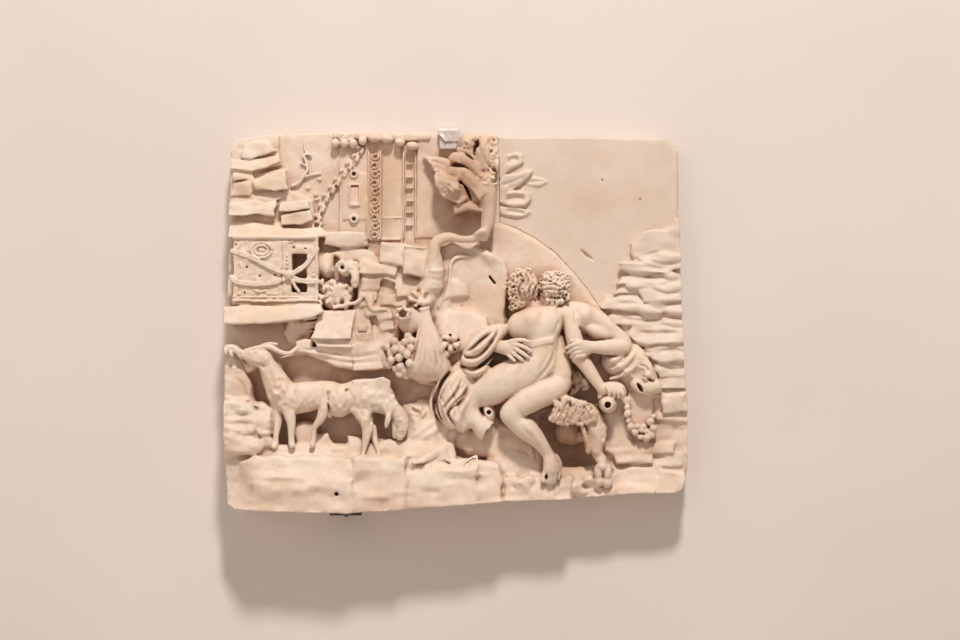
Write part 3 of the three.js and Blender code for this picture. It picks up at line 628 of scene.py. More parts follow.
def carve_left_goat(stone):
    """The goat that stretches up to browse, seen from its left side."""
    body = together(
        limb([(-192, -80, 52, 15), (-184, -86, 53, 16.5), (-168, -84, 54, 17), (-152, -82, 53, 15.5)],
            flat=0.8),
        limb([(-213, -40, 57, 9), (-208, -48, 57, 9.5), (-202, -60, 55, 12.5), (-194, -76, 54, 15.5)],
            flat=0.85),
        boss(-140, -76, 46, 19, 10, 12, turn=-6),
        limb([(-237, -36.5, 59, 4.2), (-230, -38, 59, 5.6), (-220, -40, 59, 9.2), (-213, -40, 58, 9.5)],
            flat=0.85),
        blend=4,
        rough=0.25,
    )
    stone.add(body, 1.2)
    # Browband, jaw, eye, nostril, mouth and ear.
    stone.add(limb([(-231, -33, 61, 2.4), (-222, -30.5, 62, 2.6), (-213, -29, 61, 3)], flat=0.8), 2)
    stone.cut(limb([(-238, -39, 64, 0.8), (-232, -40.5, 65, 0.9), (-228, -40, 66, 0.5)]), 0.6)
    stone.cut(drill(-236.5, -36, 0.7, 60), 0.3)
    stone.add(boss(-219.5, -34, 65.5, 1.8, 1.4, 1.4), 0.5)
    stone.cut(ring(-219.5, -34, 67, 2.2, 0.4), 0.4)
    stone.add(limb([(-211, -36, 64, 2), (-208, -42, 65, 2.8), (-207, -47, 63, 1)], flat=0.6), 0.6)
    stone.add(limb([(-227, -44, 60, 1.5), (-226, -49, 60, 0.8)]), 1)
    horn = [(-211, -28, 60, 3.2), (-204, -28.5, 61, 3.0), (-198, -31.5, 62, 2.7), (-191, -35, 61, 2.5),
            (-183, -35.5, 58, 2.3), (-176, -30, 52, 2.3)]
    stone.add(limb(horn, rough=0.2), 0.8)
    stone.add(limb([(-214, -28, 56, 2.6), (-206, -25.5, 55, 2.4), (-198, -26, 52, 1.8)], rough=0.2), 0.8)
    legs = (
        ([(-198, -88, 50, 8), (-197, -104, 51, 6.2), (-197, -112, 52, 5), (-198.5, -126, 54, 3.2),
            (-198.5, -134, 55, 3.2), (-200, -138, 57, 3.6)], 0.35),
        ([(-185, -92, 56, 9), (-182.5, -104, 59, 6.5), (-181, -113, 60, 4.8), (-181, -128, 60, 3.4),
            (-180, -136, 61, 3.8)], 0.5),
        ([(-147, -80, 55, 9), (-145, -95, 59, 6.5), (-149, -108, 60, 4.8), (-155.5, -117, 60, 3.0),
            (-156.5, -128, 60, 2.5), (-158, -136, 61, 3.2)], 0.6),
    )
    for leg, sink in legs:
        stone.add(limb(leg, flat=0.9, sink=sink, rough=0.2), 1.5)
    stone.cut(limb([(-137, -70, 60, 1), (-140, -80, 63, 1.2), (-139, -95, 62, 1.2), (-143, -103, 60, 1)]),
        1)
    stone.cut(limb([(-190, -92, 66, 0.8), (-183, -96, 68, 0.9), (-176, -94, 68, 0.6)]), 1.2)
    stone.cut(limb([(-181, -113, 66, 0.4), (-181, -134, 65, 0.4)]), 0.4)
    stone.add(boss(-139.5, -102.5, 54, 3, 4.4, 4), 0.8)
    # Woolly coat: over the breast, the belly and the flank; short hair on the neck.
    coat = [(-206, -58), (-190, -52), (-176, -66), (-138, -66), (-128, -80), (-142, -100), (-176, -104),
        (-200, -98), (-206, -76)]
    texture(stone, coat, 1.0, 2.8, 71, stretch=(1, 1.6), floor=58, edge=4)
    texture(stone, [(-180, -84), (-146, -84), (-146, -102), (-180, -104)], 1.4, 3.6, 72, stretch=(1, 1.4),
        floor=60, edge=4)
    for muscle in ([(-204, -56), (-200, -70), (-204, -84)], [(-178, -72), (-176, -84), (-182, -94)],
            [(-216, -47), (-209, -50), (-203, -50)]):
        trace(stone, muscle, 1.6, -1.8, floor=56)
    for muscle in ([(-222, -42), (-216, -45), (-211, -44)], [(-228, -34), (-222, -35)]):
        trace(stone, muscle, 1.4, 1.3, floor=60)
    texture(stone, [(-226, -44), (-212, -40), (-196, -56), (-178, -64), (-186, -92), (-206, -94),
        (-214, -70)], 1.4, 3.4, 122, stretch=(1, 1.5), floor=56, edge=4)
    texture(stone, [(-212, -60), (-196, -60), (-190, -92), (-206, -98)], 1.2, 5, 123, floor=56, edge=4)


def carve_right_goat(stone):
    """The goat that grazes with its head down, seen from its right side."""
    body = together(
        boss(-128.5, -88, 54, 16, 18, 15),
        limb([(-122, -84, 53, 15), (-108, -84, 53, 17), (-94, -84, 52, 17.5), (-82, -84, 50, 14)],
            flat=0.85),
        boss(-100, -72, 50, 21, 8, 12),
        limb([(-84, -86, 51, 14), (-74, -94, 53, 11), (-66, -102, 55, 8.5)], flat=0.9),
        blend=4,
        rough=0.3,
    )
    stone.add(body, 1.2)
    stone.add(plate([(-114, -66), (-92, -64), (-80, -62), (-72, -66), (-73, -76), (-76, -88), (-98, -90),
        (-112, -82)], 63, 40, soft=2, rough=1.2, lean=-0.1), 3)
    stone.cut(limb([(-121, -74, 67, 0.9), (-119.5, -84, 69, 0.9), (-121, -92, 68, 0.6)]), 1)
    stone.cut(drill(-121, -76, 1.2, 62), 0.6)
    head = together(
        limb([(-65, -100, 56, 8), (-60, -108, 58, 7.5), (-59, -118, 58, 6), (-62, -127, 57, 4.4)],
            flat=0.9),
        limb([(-66, -110, 55, 5), (-67, -120, 54, 4), (-68, -127, 53, 2.5)]),
        blend=2.5,
        rough=0.2,
    )
    stone.add(head, 1.0)
    stone.add(limb([(-73, -98, 60, 2.4), (-74.5, -106, 62, 3.2), (-76.5, -114, 61, 2.4),
        (-77, -117, 60, 1)], flat=0.7), 0.6)
    stone.cut(limb([(-73.5, -101, 65, 0.6), (-76, -113, 64.5, 0.6)]), 0.4)
    stone.add(boss(-60.5, -108, 64.5, 1.6, 1.3, 1.3), 0.5)
    stone.cut(ring(-60.5, -108, 66, 2.1, 0.45), 0.4)
    stone.cut(limb([(-58, -124, 62, 0.7), (-63, -124.5, 63, 0.8), (-67, -121, 61, 0.5)]), 0.5)
    stone.cut(drill(-59, -121.5, 0.7, 60), 0.3)
    # Curled mane from the withers down to the brow.
    for i in range(11):
        t = i / 10
        x0, z0 = -79 + 17 * t, -67 - 33 * t + 4 * math.sin(3 * t)
        stone.add(boss(x0 - 1.5 + (-1) ** i, z0 - 1.5, 56 + 4 * t, 2.0, 3.4, 2.6, turn=-20 + 50 * (i % 2),
            rough=0.6), 1.6)
    stone.add(limb([(-80, -72, 58, 1.2), (-76, -80, 60, 1.6), (-72, -87, 61, 1.6), (-69, -90, 60, 1)]), 0.6)
    legs = (
        ([(-104, -98, 55, 10), (-99, -109, 59, 8), (-97.5, -118, 60, 6), (-99.5, -132, 61, 3.9),
            (-101.5, -143, 62, 2.3), (-103, -149, 63, 3)], 0.6),
        ([(-93, -118, 48, 5), (-90, -130, 52, 3.6), (-86.5, -140, 56, 2.6), (-84.5, -149, 59, 2.6)], 0.5),
    )
    for leg, sink in legs:
        stone.add(limb(leg, flat=0.9, sink=sink, rough=0.2), 1.5)
    coat = [(-140, -72), (-128, -66), (-84, -66), (-70, -88), (-72, -102), (-96, -112), (-124, -106),
        (-142, -98)]
    texture(stone, coat, 1.3, 3.0, 73, stretch=(1, 1.6), floor=56, edge=4)
    texture(stone, [(-122, -92), (-84, -92), (-84, -112), (-112, -122), (-124, -108)],
        1.7, 3.8, 74, stretch=(1, 1.4), floor=58, edge=4)
    for muscle in ([(-118, -76), (-112, -88), (-116, -100)], [(-84, -78), (-80, -90), (-84, -102)],
            [(-90, -100), (-94, -112), (-95, -120)]):
        trace(stone, muscle, 1.6, -1.8, floor=54)
    trace(stone, [(-66, -96), (-70, -104), (-69, -114)], 1.0, -1.6, floor=54)
    texture(stone, [(-74, -92), (-52, -94), (-50, -130), (-72, -132), (-76, -110)],
        0.5, 2.8, 75, floor=56, edge=4)


def carve_left_rocks(stone):
    """The rocks and the leafy bush at the left edge, and the ground behind the goats' legs."""
    stone.cut(plate([(-232, -40), (-205, -36), (-190, -62), (-80, -58), (-45, -62), (-40, -110),
        (-48, -128), (-206, -138), (-222, -90)], AIR, 51, soft=9, rough=1.5), 5)
    stone.cut(plate([(-154, -108), (-120, -110), (-90, -112), (-86, -130), (-118, -133), (-154, -130)],
        AIR, 41, soft=6, rough=1), 4)
    beds = [
        ([(-256, -86), (-256, -38), (-243, -38), (-236, -52), (-227, -66), (-226, -86)], 52, 0.1),
        ([(-256, -105), (-256, -87), (-240, -87), (-224, -90), (-219, -100), (-224, -106)], 61, 0.25),
        ([(-256, -124), (-256, -104), (-228, -103), (-218, -110), (-220, -122)], 65, 0.3),
        ([(-257, -146), (-257, -122), (-236, -122), (-216, -126), (-212, -140), (-220, -148)], 68, 0.25),
        ([(-215, -139), (-216, -100), (-222, -92), (-213, -90), (-203, -96), (-202, -139)], 60, 0.08),
        ([(-177, -140), (-177, -113), (-156, -112), (-154, -140)], 50, 0.1),
        ([(-120, -152), (-119, -127), (-106, -127), (-92, -131), (-52, -131), (-50, -152)], 56, 0.35),
        ([(-50, -130), (-52, -92), (-36, -90), (-20, -104), (-14, -130)], 44, 0.2),
        ([(-154, -138), (-154, -128), (-142, -127), (-134, -138)], 52, 0.4),
    ]
    stone.add(plate([(-258, -36), (-244, -38), (-234, -60), (-222, -88), (-202, -94), (-200, -142),
        (-258, -150)], 50, 10, soft=4, rough=2.0), 4)
    stone.add(plate([(-60, -92), (-30, -88), (-8, -104), (-8, -140), (-60, -140)],
        44, 10, soft=5, rough=2.0, lean=0.25), 4)
    stone.add(plate([(-257, -90), (-232, -88), (-216, -100), (-212, -146), (-257, -150)],
        60, 10, soft=6, rough=3), 5)
    for outline, front, lean in beds:
        stone.add(plate(outline, front, 12, soft=4.5, rough=3.0, lean=lean), 5)
    for crack in (
        [(-256, -104), (-238, -103), (-222, -105)], [(-256, -114), (-240, -112.5), (-224, -114)],
        [(-226, -110), (-222, -118), (-219, -126)], [(-256, -87), (-240, -88), (-224, -91)],
            [(-246, -62), (-236, -70), (-232, -84)],
    ):
        trace(stone, crack, 1.8, -1.8, floor=40)
    for rib in ([(-54, -128), (-40, -122), (-22, -108)], [(-44, -132), (-26, -122), (-14, -112)],
            [(-50, -104), (-44, -112), (-46, -122)]):
        trace(stone, rib, 2.6, 2.4, floor=34)
    rocks = [(-258, -36), (-236, -40), (-222, -88), (-200, -94), (-198, -142), (-258, -150)]
    texture(stone, rocks, 1.6, 8, 63, stretch=(1.6, 1), floor=38)
    texture(stone, rocks, 0.9, 3.6, 64, stretch=(2, 1), floor=38)
    texture(stone, [(-205, -56), (-40, -56), (-30, -132), (-150, -136)], 0.8, 12, 65, stretch=(2, 1),
        floor=30, ceiling=48)
    # The bush that the left goat nibbles.
    stone.add(boss(-247, -26, 52, 11, 12, 10, rough=1.2), 2)
    leaf_turns = ((-251, -18, 30), (-243, -17, -20), (-238, -23, -50), (-249, -27, 60), (-242, -31, -30),
        (-247, -36, 20), (-239, -33, -60), (-253, -33, 10))
    for x0, z0, turn in leaf_turns:
        stone.add(boss(x0, z0, 60, 2.2, 4.8, 2.6, turn=turn, rough=0.4), 0.7)
    for x0, z0, turn in ((-45, -96, 60), (-40, -98, 10), (-37, -103, -30), (-47, -103, 80),
            (-45, -124, 75), (-38, -127, 60), (-48, -130, 85)):
        stone.add(boss(x0, z0, 44, 2.0, 4.4, 2.2, turn=turn, rough=0.8), 1.6)


def carve_ground(stone):
    """The ledge of ground along the bottom, its front broken back at the left corner."""
    beds = [
        ([(-262, -141), (-212, -139), (-196, -137), (-112, -137), (-108, -214), (-264, -214)], 66, 0.3),
        ([(-240, -152), (-205, -147), (-116, -150), (-110, -214), (-244, -214)], 76, 0.18),
        ([(-224, -172), (-180, -168), (-112, -174), (-110, -214), (-232, -214)], 83, 0.06),
        ([(-114, -148), (-54, -148), (-55, -176), (-57, -214), (-114, -214)], 77, 0.1),
        ([(-58, -162), (24, -158), (26, -204), (26, -212), (-60, -212), (-58, -190)], 71, 0.12),
        ([(-64, -134), (-12, -134), (-4, -160), (-60, -162)], 60, 0.4),
        ([(-12, -150), (50, -156), (50, -212), (-12, -212)], 66, 0.2),
        ([(50, -168), (108, -172), (106, -212), (50, -212)], 61, 0.2),
        ([(96, -168), (128, -168), (128, -212), (96, -212)], 62, 0.25),
        ([(128, -166), (176, -168), (176, -212), (128, -212)], 51, 0.3),
        ([(172, -158), (224, -160), (222, -212), (172, -212)], 46, 0.25),
        ([(226, -162), (252, -166), (257, -176), (252, -212), (218, -212), (216, -186)], 49, 0.2),
    ]
    for outline, front, lean in beds:
        stone.add(plate(outline, front, 10, soft=5, rough=2.4, lean=lean), 5)
    for x0, z0, wide, front in ((-112, -184, 14, 70), (-56, -184, 14, 64), (24, -186, 14, 60),
            (50, -186, 14, 56)):
        stone.add(block(x0, z0, wide, 50, front, 10, soft=3, rough=1.5), 5)
    # The broken corner, the crevices between the blocks, the hollow and the drilled hole.
    stone.cut(boss(-268, -180, 94, 54, 48, 44, turn=25, sink=1, rough=2), 10)
    for joint in ([(-117, -136), (-114, -156), (-112, -176), (-112, -204)],
            [(-52, -156), (-54, -172), (-58, -190), (-58, -206)]):
        trace(stone, joint, 4.5, -0.6, floor=50, taper=0.2)
    for joint in ([(23, -168), (24, -182), (24, -200)], [(48, -152), (55, -172), (50, -190)]):
        trace(stone, joint, 3.2, -1.6, floor=40, taper=0.1)
    stone.cut(boss(-154, -146, 80, 18, 5.5, 9, turn=6, sink=1, rough=1.5), 5)
    stone.cut(boss(-196, -193, 92, 34, 9, 8, turn=-3, sink=1, rough=1.5), 5)
    stone.cut(boss(-128, -196, 92, 16, 8, 9, sink=1, rough=1.5), 5)
    stone.cut(drill(-130, -188, 2.2, 62), 1)
    for bed in (
        [(-236, -164), (-200, -168), (-150, -166), (-118, -170)],
            [(-228, -180), (-180, -184), (-140, -180), (-114, -186)],
        [(-108, -160), (-84, -163), (-58, -161)], [(-50, -176), (-20, -180), (18, -176)],
            [(-104, -190), (-70, -194)],
    ):
        trace(stone, bed, 3.4, 1.8, floor=50)
    front = [(-260, -212), (-260, -142), (-60, -140), (60, -160), (250, -166), (255, -212)]
    texture(stone, front, 1.5, 13, 61, stretch=(2, 1), floor=34)
    texture(stone, front, 0.8, 4.5, 62, stretch=(4, 1), floor=34)
    # The drilled hole again, since the roughening has closed its mouth a little.
    stone.cut(drill(-130, -188, 2.2, 62), 1)


def carve_fruit(stone):
    """The cloth bag of fruit hung on the tree, with a pomegranate, grapes and figs round it."""
    bag = together(
        limb([(-35.5, 18, 54, 5.2), (-34.5, 8, 56, 5.5), (-33, -4, 57, 8), (-31.5, -18, 56, 12.5),
            (-31, -34, 55, 17), (-33, -46, 53, 18)], flat=0.85),
        boss(-32, -50, 50, 26, 17.5, 17),
        blend=5,
    )
    stone.add(bag, 1.2)
    stone.add(boss(-37, 20, 54, 9, 6, 8, rough=1), 2)
    stone.add(boss(-44, 26, 50, 11, 8.5, 8, turn=-25, rough=1.6), 2)
    # Folds run from the knot and fan out over the bag.
    for i in range(13):
        t = (i - 6) / 6
        fold = [(-35.5 + 4 * t, 18), (-34 + 6 * t, 0), (-32 + 11.5 * t, -20), (-31.5 + 18 * t, -40),
            (-32 + (22 + i % 3) * t, -54)]
        trace(stone, fold, 0.9 if i % 2 else 1.4, (-1.9 if i % 4 == 1 else -1.3) if i % 2 else 1.2,
            floor=46, taper=0.16)
    for i in range(9):
        angle = math.radians(40 + 28 * i)
        c, s = math.cos(angle), math.sin(angle)
        ray = [(-38 + 2 * c, 21 + 2 * s), (-40 + 8 * c, 23 + 7 * s),
            (-41 + (13 - i % 3) * c, 24 + (11 - i % 2) * s)]
        trace(stone, ray, 1.5, 2.4 if i % 2 else -2.4, floor=42, taper=0.1, steps=3)
    trace(stone, [(-44, 15), (-37, 12.5), (-30, 15)], 1.3, 2.2, floor=46, taper=0.05)
    trace(stone, [(-44, 18), (-37, 15.5), (-30, 18)], 0.8, -2.0, floor=46, taper=0.05)
    # The pomegranate, its crown open towards the front.
    stone.add(boss(-51, 0, 52, 13, 15, 13, turn=-10), 1)
    stone.add(limb([(-55, 4, 58, 10), (-57.5, 7.5, 65, 8)], sink=1), 2)
    for i in range(6):
        angle = math.radians(20 + 60 * i)
        c, s = math.cos(angle), math.sin(angle)
        stone.add(boss(-58 + 6.6 * c, 8 + 6.6 * s, 68, 3.0, 2.2, 3.0, turn=math.degrees(angle), sink=0.6),
            0.8)
    stone.cut(drill(-58.5, 8, 4.2, 60), 1)
    for i in range(5):
        angle = math.radians(90 + 72 * i)
        stone.cut(limb([(-58.5, 8, 69, 2), (-58.5 + 5.5 * math.cos(angle), 8 + 5.5 * math.sin(angle),
            71, 1)], sink=0.3), 0.5)
    # Grapes and figs.
    stone.cut(boss(-62, -20, 62, 13, 12, 10, sink=1), 3)
    grapes = (
        (-68, -22.4, 58), (-67.5, -31, 60), (-71.5, -42.6, 57), (-59.5, -32, 63), (-61.5, -49.5, 60),
        (-51.5, -46, 64), (-63, -40, 62), (-62, -58, 56), (-49, -21.5, 60), (-56.5, -23.5, 60),
            (-53, -16.5, 57),
        (-71.5, -36, 55), (-54, -37, 64), (-57, -54, 58), (-50, -30, 62), (-74, -48, 52), (-66, -52, 54),
        (-61, -27, 58), (-55, -60, 53), (-75, -29, 52),
    )
    beads(stone, grapes, 4.7, 4.8, blend=0.4)
    beads(stone, [(-12.8, -20.5, 54), (-13, -28, 56), (-20, -33, 56), (-12, -36, 52)], 5.6, 6, blend=0.5)
    stone.add(boss(-6, -24, 50, 10.5, 11.5, 12, rough=0.8), 1)
    for angle in (20, 95, 160, 235, 300):
        c, s = math.cos(math.radians(angle)), math.sin(math.radians(angle))
        trace(stone, [(-6, -24), (-6 + 5 * c, -24 + 5 * s), (-6 + 10 * c, -24 + 10 * s)],
            1.3, -4.0, floor=44, taper=0.1)
        stone.add(boss(-6 + 6.5 * math.cos(math.radians(angle + 35)),
            -24 + 6.5 * math.sin(math.radians(angle + 35)), 57, 4, 3.4, 4.5), 0.6)
    stone.cut(boss(-6, -24, 64, 2.6, 2.2, 6, sink=1), 0.8)


def carve_tree(stone):
    """The broken tree: a bent trunk and bough, and thick leaves with their tips knocked off."""
    stone.cut(boss(8, 112, 60, 26, 26, 32, sink=1), 6)
    trunk = together(
        limb([(-44, 4, 38, 10), (-40, 18, 40, 12), (-32, 34, 42, 13.5), (-25, 48, 44, 12.5),
            (-24, 63, 46, 9.5), (-25, 77, 48, 7.5),
              (-20, 88, 50, 6.5), (-8, 92.5, 52, 5), (5, 90, 54, 4), (18, 90.5, 55, 4), (28, 96, 55, 5)]),
        limb([(30, 94, 50, 6), (34, 106, 50, 7), (35, 120, 51, 7.4), (34, 136, 52, 9.5),
            (32, 150, 52, 12)]),
        blend=3,
        rough=0.7,
    )
    stone.add(plate([(-22, 54), (-20, 82), (-4, 87), (22, 86), (30, 76), (10, 66), (-4, 54)],
        40, 12, soft=3, rough=1.4), 3)
    stone.add(plate([(-30, 14), (36, 14), (44, -8), (26, -30), (6, -56), (-24, -72), (-62, -62),
        (-64, -36)], 42, 12, soft=5, rough=1.8, lean=0.08), 4)
    stone.add(trunk, 2)
    stone.add(plate([(-40, 20), (-30, 60), (-6, 62), (0, 40), (-8, 10), (-40, -4)],
        43, 12, soft=4, rough=1.5), 4)
    for ledge, height in (([(-33, 56), (-20, 55), (-11, 58)], 1.6),
            ([(-32, 47), (-20, 45), (-10, 48)], -1.4), ([(-32, 38), (-20, 36), (-9, 40)], 1.2),
            ([(-30, 30), (-20, 28), (-9, 32)], -1.2)):
        trace(stone, ledge, 1.6, height, floor=44)
    texture(stone, [(-38, 8), (-36, 84), (-8, 84), (-6, 8)], 0.7, 4.5, 110, stretch=(1, 2), floor=44)
    stone.add(limb([(22, 95, 58, 3), (28, 99, 60, 3.4), (31, 97, 60, 2)], rough=0.4), 1)
    # Smooth rock behind the trunk, its thin edge curling round from the top.
    stone.add(plate([(-8, 60), (-3, 68), (12, 71), (32, 76), (40, 70), (54, 60), (57, 48), (54, 22),
        (54, -12), (-20, -12), (-24, 10), (-12, 28)], 41, 12, soft=3, rough=1.6, lean=-0.03), 3)
    stone.add(limb([(16, 71, 42, 1.6), (3.5, 71, 43, 2.2), (-4, 67, 44, 2.0), (-7, 58, 44, 1.6),
        (-8, 44, 44, 1.4), (-12, 29, 44, 1.4), (-20, 15, 44, 1.2)]), 0.8)
    stone.add(plate([(-8, 46), (2, 46), (11, 38), (14, 26), (-14, 24), (-12, 32)],
        45, 15, soft=3.5, rough=1.6, lean=0.1), 3.5)
    stone.add(plate([(-24, 6), (-8, 12), (20, 12), (33, 5), (40, -14), (4, -34), (-26, -30)],
        49, 15, soft=5, rough=1.8, lean=0.15), 4)
    stone.add(plate([(20, 80), (34, 78), (52, 66), (58, 54), (50, 50), (36, 62)],
        44, 15, soft=4, rough=2, lean=-0.1), 4)
    stone.cut(boss(17.5, 47, 46, 3, 4, 4, turn=20, sink=1, rough=0.6), 1.5)
    stone.cut(block(39.7, 45.5, 2.6, 11.5, 80, 30, turn=37, soft=1.0, rough=0.4), 0.5)
    stone.cut(drill(6, 17, 0.9, 38), 0.8)
    # Leaves, lowest first. Each is a thick blade; most end in a rough break.
    leaves = (
        ([(36, 160, 46, 6), (38, 176, 47, 8), (36, 190, 49, 9), (33, 199, 48, 6)], 0.9, 1.6),
        ([(28, 164, 50, 6), (30, 174, 57, 9.5), (31, 186, 58, 9.5), (31, 197, 54, 7)], 0.8, 1.0),
        ([(24, 172, 48, 5), (17, 183, 52, 6), (13, 194, 50, 8), (10, 199, 47, 6)], 0.8, 1.8),
        ([(27, 160, 50, 6), (20, 170, 54, 7.5), (10, 181, 56, 7), (3, 187, 53, 4)], 0.7, 0.6),
        ([(27, 150, 52, 6), (22, 162, 59, 8), (13, 172, 62, 8.5), (3, 177.5, 62, 7), (-5, 178.5, 60, 3.5)],
            0.65, 0.7),
        ([(22, 132, 50, 5), (6, 142, 55, 9), (-6, 149, 60, 10), (-17, 157, 56, 8)], 0.9, 1.8),
        ([(30, 136, 52, 7), (25, 146, 58, 8.5), (15, 156, 62, 8.5), (3, 162.5, 62, 6.5),
            (-7, 164.5, 60, 3)], 0.55, 0.4),
        ([(-2, 168, 46, 7), (-16, 172, 44, 8), (-27, 178, 40, 4.5), (-36, 180, 36, 2)], 0.45, 0.7),
        ([(26, 124, 50, 4), (14, 126, 53, 4), (6, 124.5, 55, 4.5), (0, 122.5, 55, 3)], 0.8, 0.9),
    )
    for blade, flat, rough in leaves:
        stone.add(limb(blade, flat=0.7 * flat, sink=0.7, rough=rough), 1)
    slices = (
        ([(26, 204), (24, 178), (34, 164), (46, 166), (47, 200), (44, 205)], 58, 1.6),
            ([(-6, 184), (8, 190), (22, 180), (34, 160), (26, 152), (12, 168), (-6, 174)], 62, 0.8),
        ([(-8, 170), (6, 170), (20, 162), (34, 142), (26, 132), (16, 146), (2, 156), (-10, 160)], 63, 0.6),
            ([(-24, 164), (-8, 164), (8, 150), (14, 134), (4, 128), (-14, 136), (-22, 148)], 60, 1.6),
        ([(-36, 182), (-20, 180), (-2, 172), (-4, 160), (-22, 164), (-30, 172)], 47, 1.0),
            ([(8, 204), (10, 186), (26, 172), (28, 204)], 52, 1.6),
        ([(-4, 127), (8, 131), (26, 128), (28, 120), (10, 122), (-2, 117)], 57, 1.0),
    )
    for outline, front, rough in slices:
        stone.add(plate(outline, front, 30, soft=2.4, rough=1.6 * rough, lean=0.1), 2)
    for rib in (
        [(-6, 165), (6, 160), (18, 148), (24, 138)], [(-4, 179), (8, 172), (18, 162), (25, 150)],
            [(31, 168), (31, 182), (31, 192)],
        [(-34, 180), (-20, 174), (-6, 169)],
    ):
        trace(stone, rib, 1.2, -1.6, floor=38)
    # Dark gaps drilled between the leaves.
    for gap in (
        [(0, 154, 60, 1.2), (8, 149, 58, 1.9), (14, 139, 56, 1.9), (16, 133, 54, 1.0)],
        [(-3, 172, 64, 2.2), (5, 169, 60, 2.4), (16, 159, 58, 2.2), (25, 149, 56, 1.2)],
        [(23, 176, 56, 2.0), (21, 188, 54, 2.6), (23, 197, 52, 1.6)],
            [(2, 181, 62, 1.5), (12, 178, 60, 1.8), (20, 170, 58, 1.2)],
    ):
        stone.cut(limb(gap, sink=0.15), 1.0)
    for edge in ([(44, 164), (34, 172), (26, 186), (24, 200)], [(-2, 186), (10, 184), (22, 174)],
            [(-12, 170), (4, 171), (18, 164), (28, 150)], [(38, 176), (37, 190), (34, 202)]):
        trace(stone, edge, 1.4, -2.6, floor=40)
    stone.add(boss(33, 157.5, 56, 10, 9.5, 9, rough=2), 1)
    stone.add(boss(-1, 146, 66, 7, 7, 6, rough=2.2), 1.5)
    stone.add(boss(-14, 158, 58, 6, 5, 5, rough=2), 1.5)
    stone.add(boss(12, 195, 49, 8, 7, 7, rough=2.4), 1.5)
    # Rough breaks where tips were knocked off.
    broken = (
        [(24, 166), (22, 148), (46, 146), (50, 170), (46, 202), (36, 204), (36, 170)],
        [(-24, 162), (-14, 132), (4, 134), (10, 150), (-2, 162)],
            [(4, 203), (4, 187), (20, 187), (24, 203)],
        [(22, 204), (24, 188), (42, 188), (42, 204)], [(-36, 176), (-22, 156), (-12, 166), (-26, 178)],
    )
    for i, patch in enumerate(broken):
        texture(stone, patch, 1.5, 3.0, 81 + i, floor=40, edge=3)
        texture(stone, patch, 0.9, 1.9, 91 + i, floor=40, edge=3)
    texture(stone, [(37, 150), (48, 146), (49, 202), (37, 203)], 2.0, 3.2, 125, floor=36, edge=2)
    stone.cut(drill(-1, 173, 1.6, 52), 0.6)


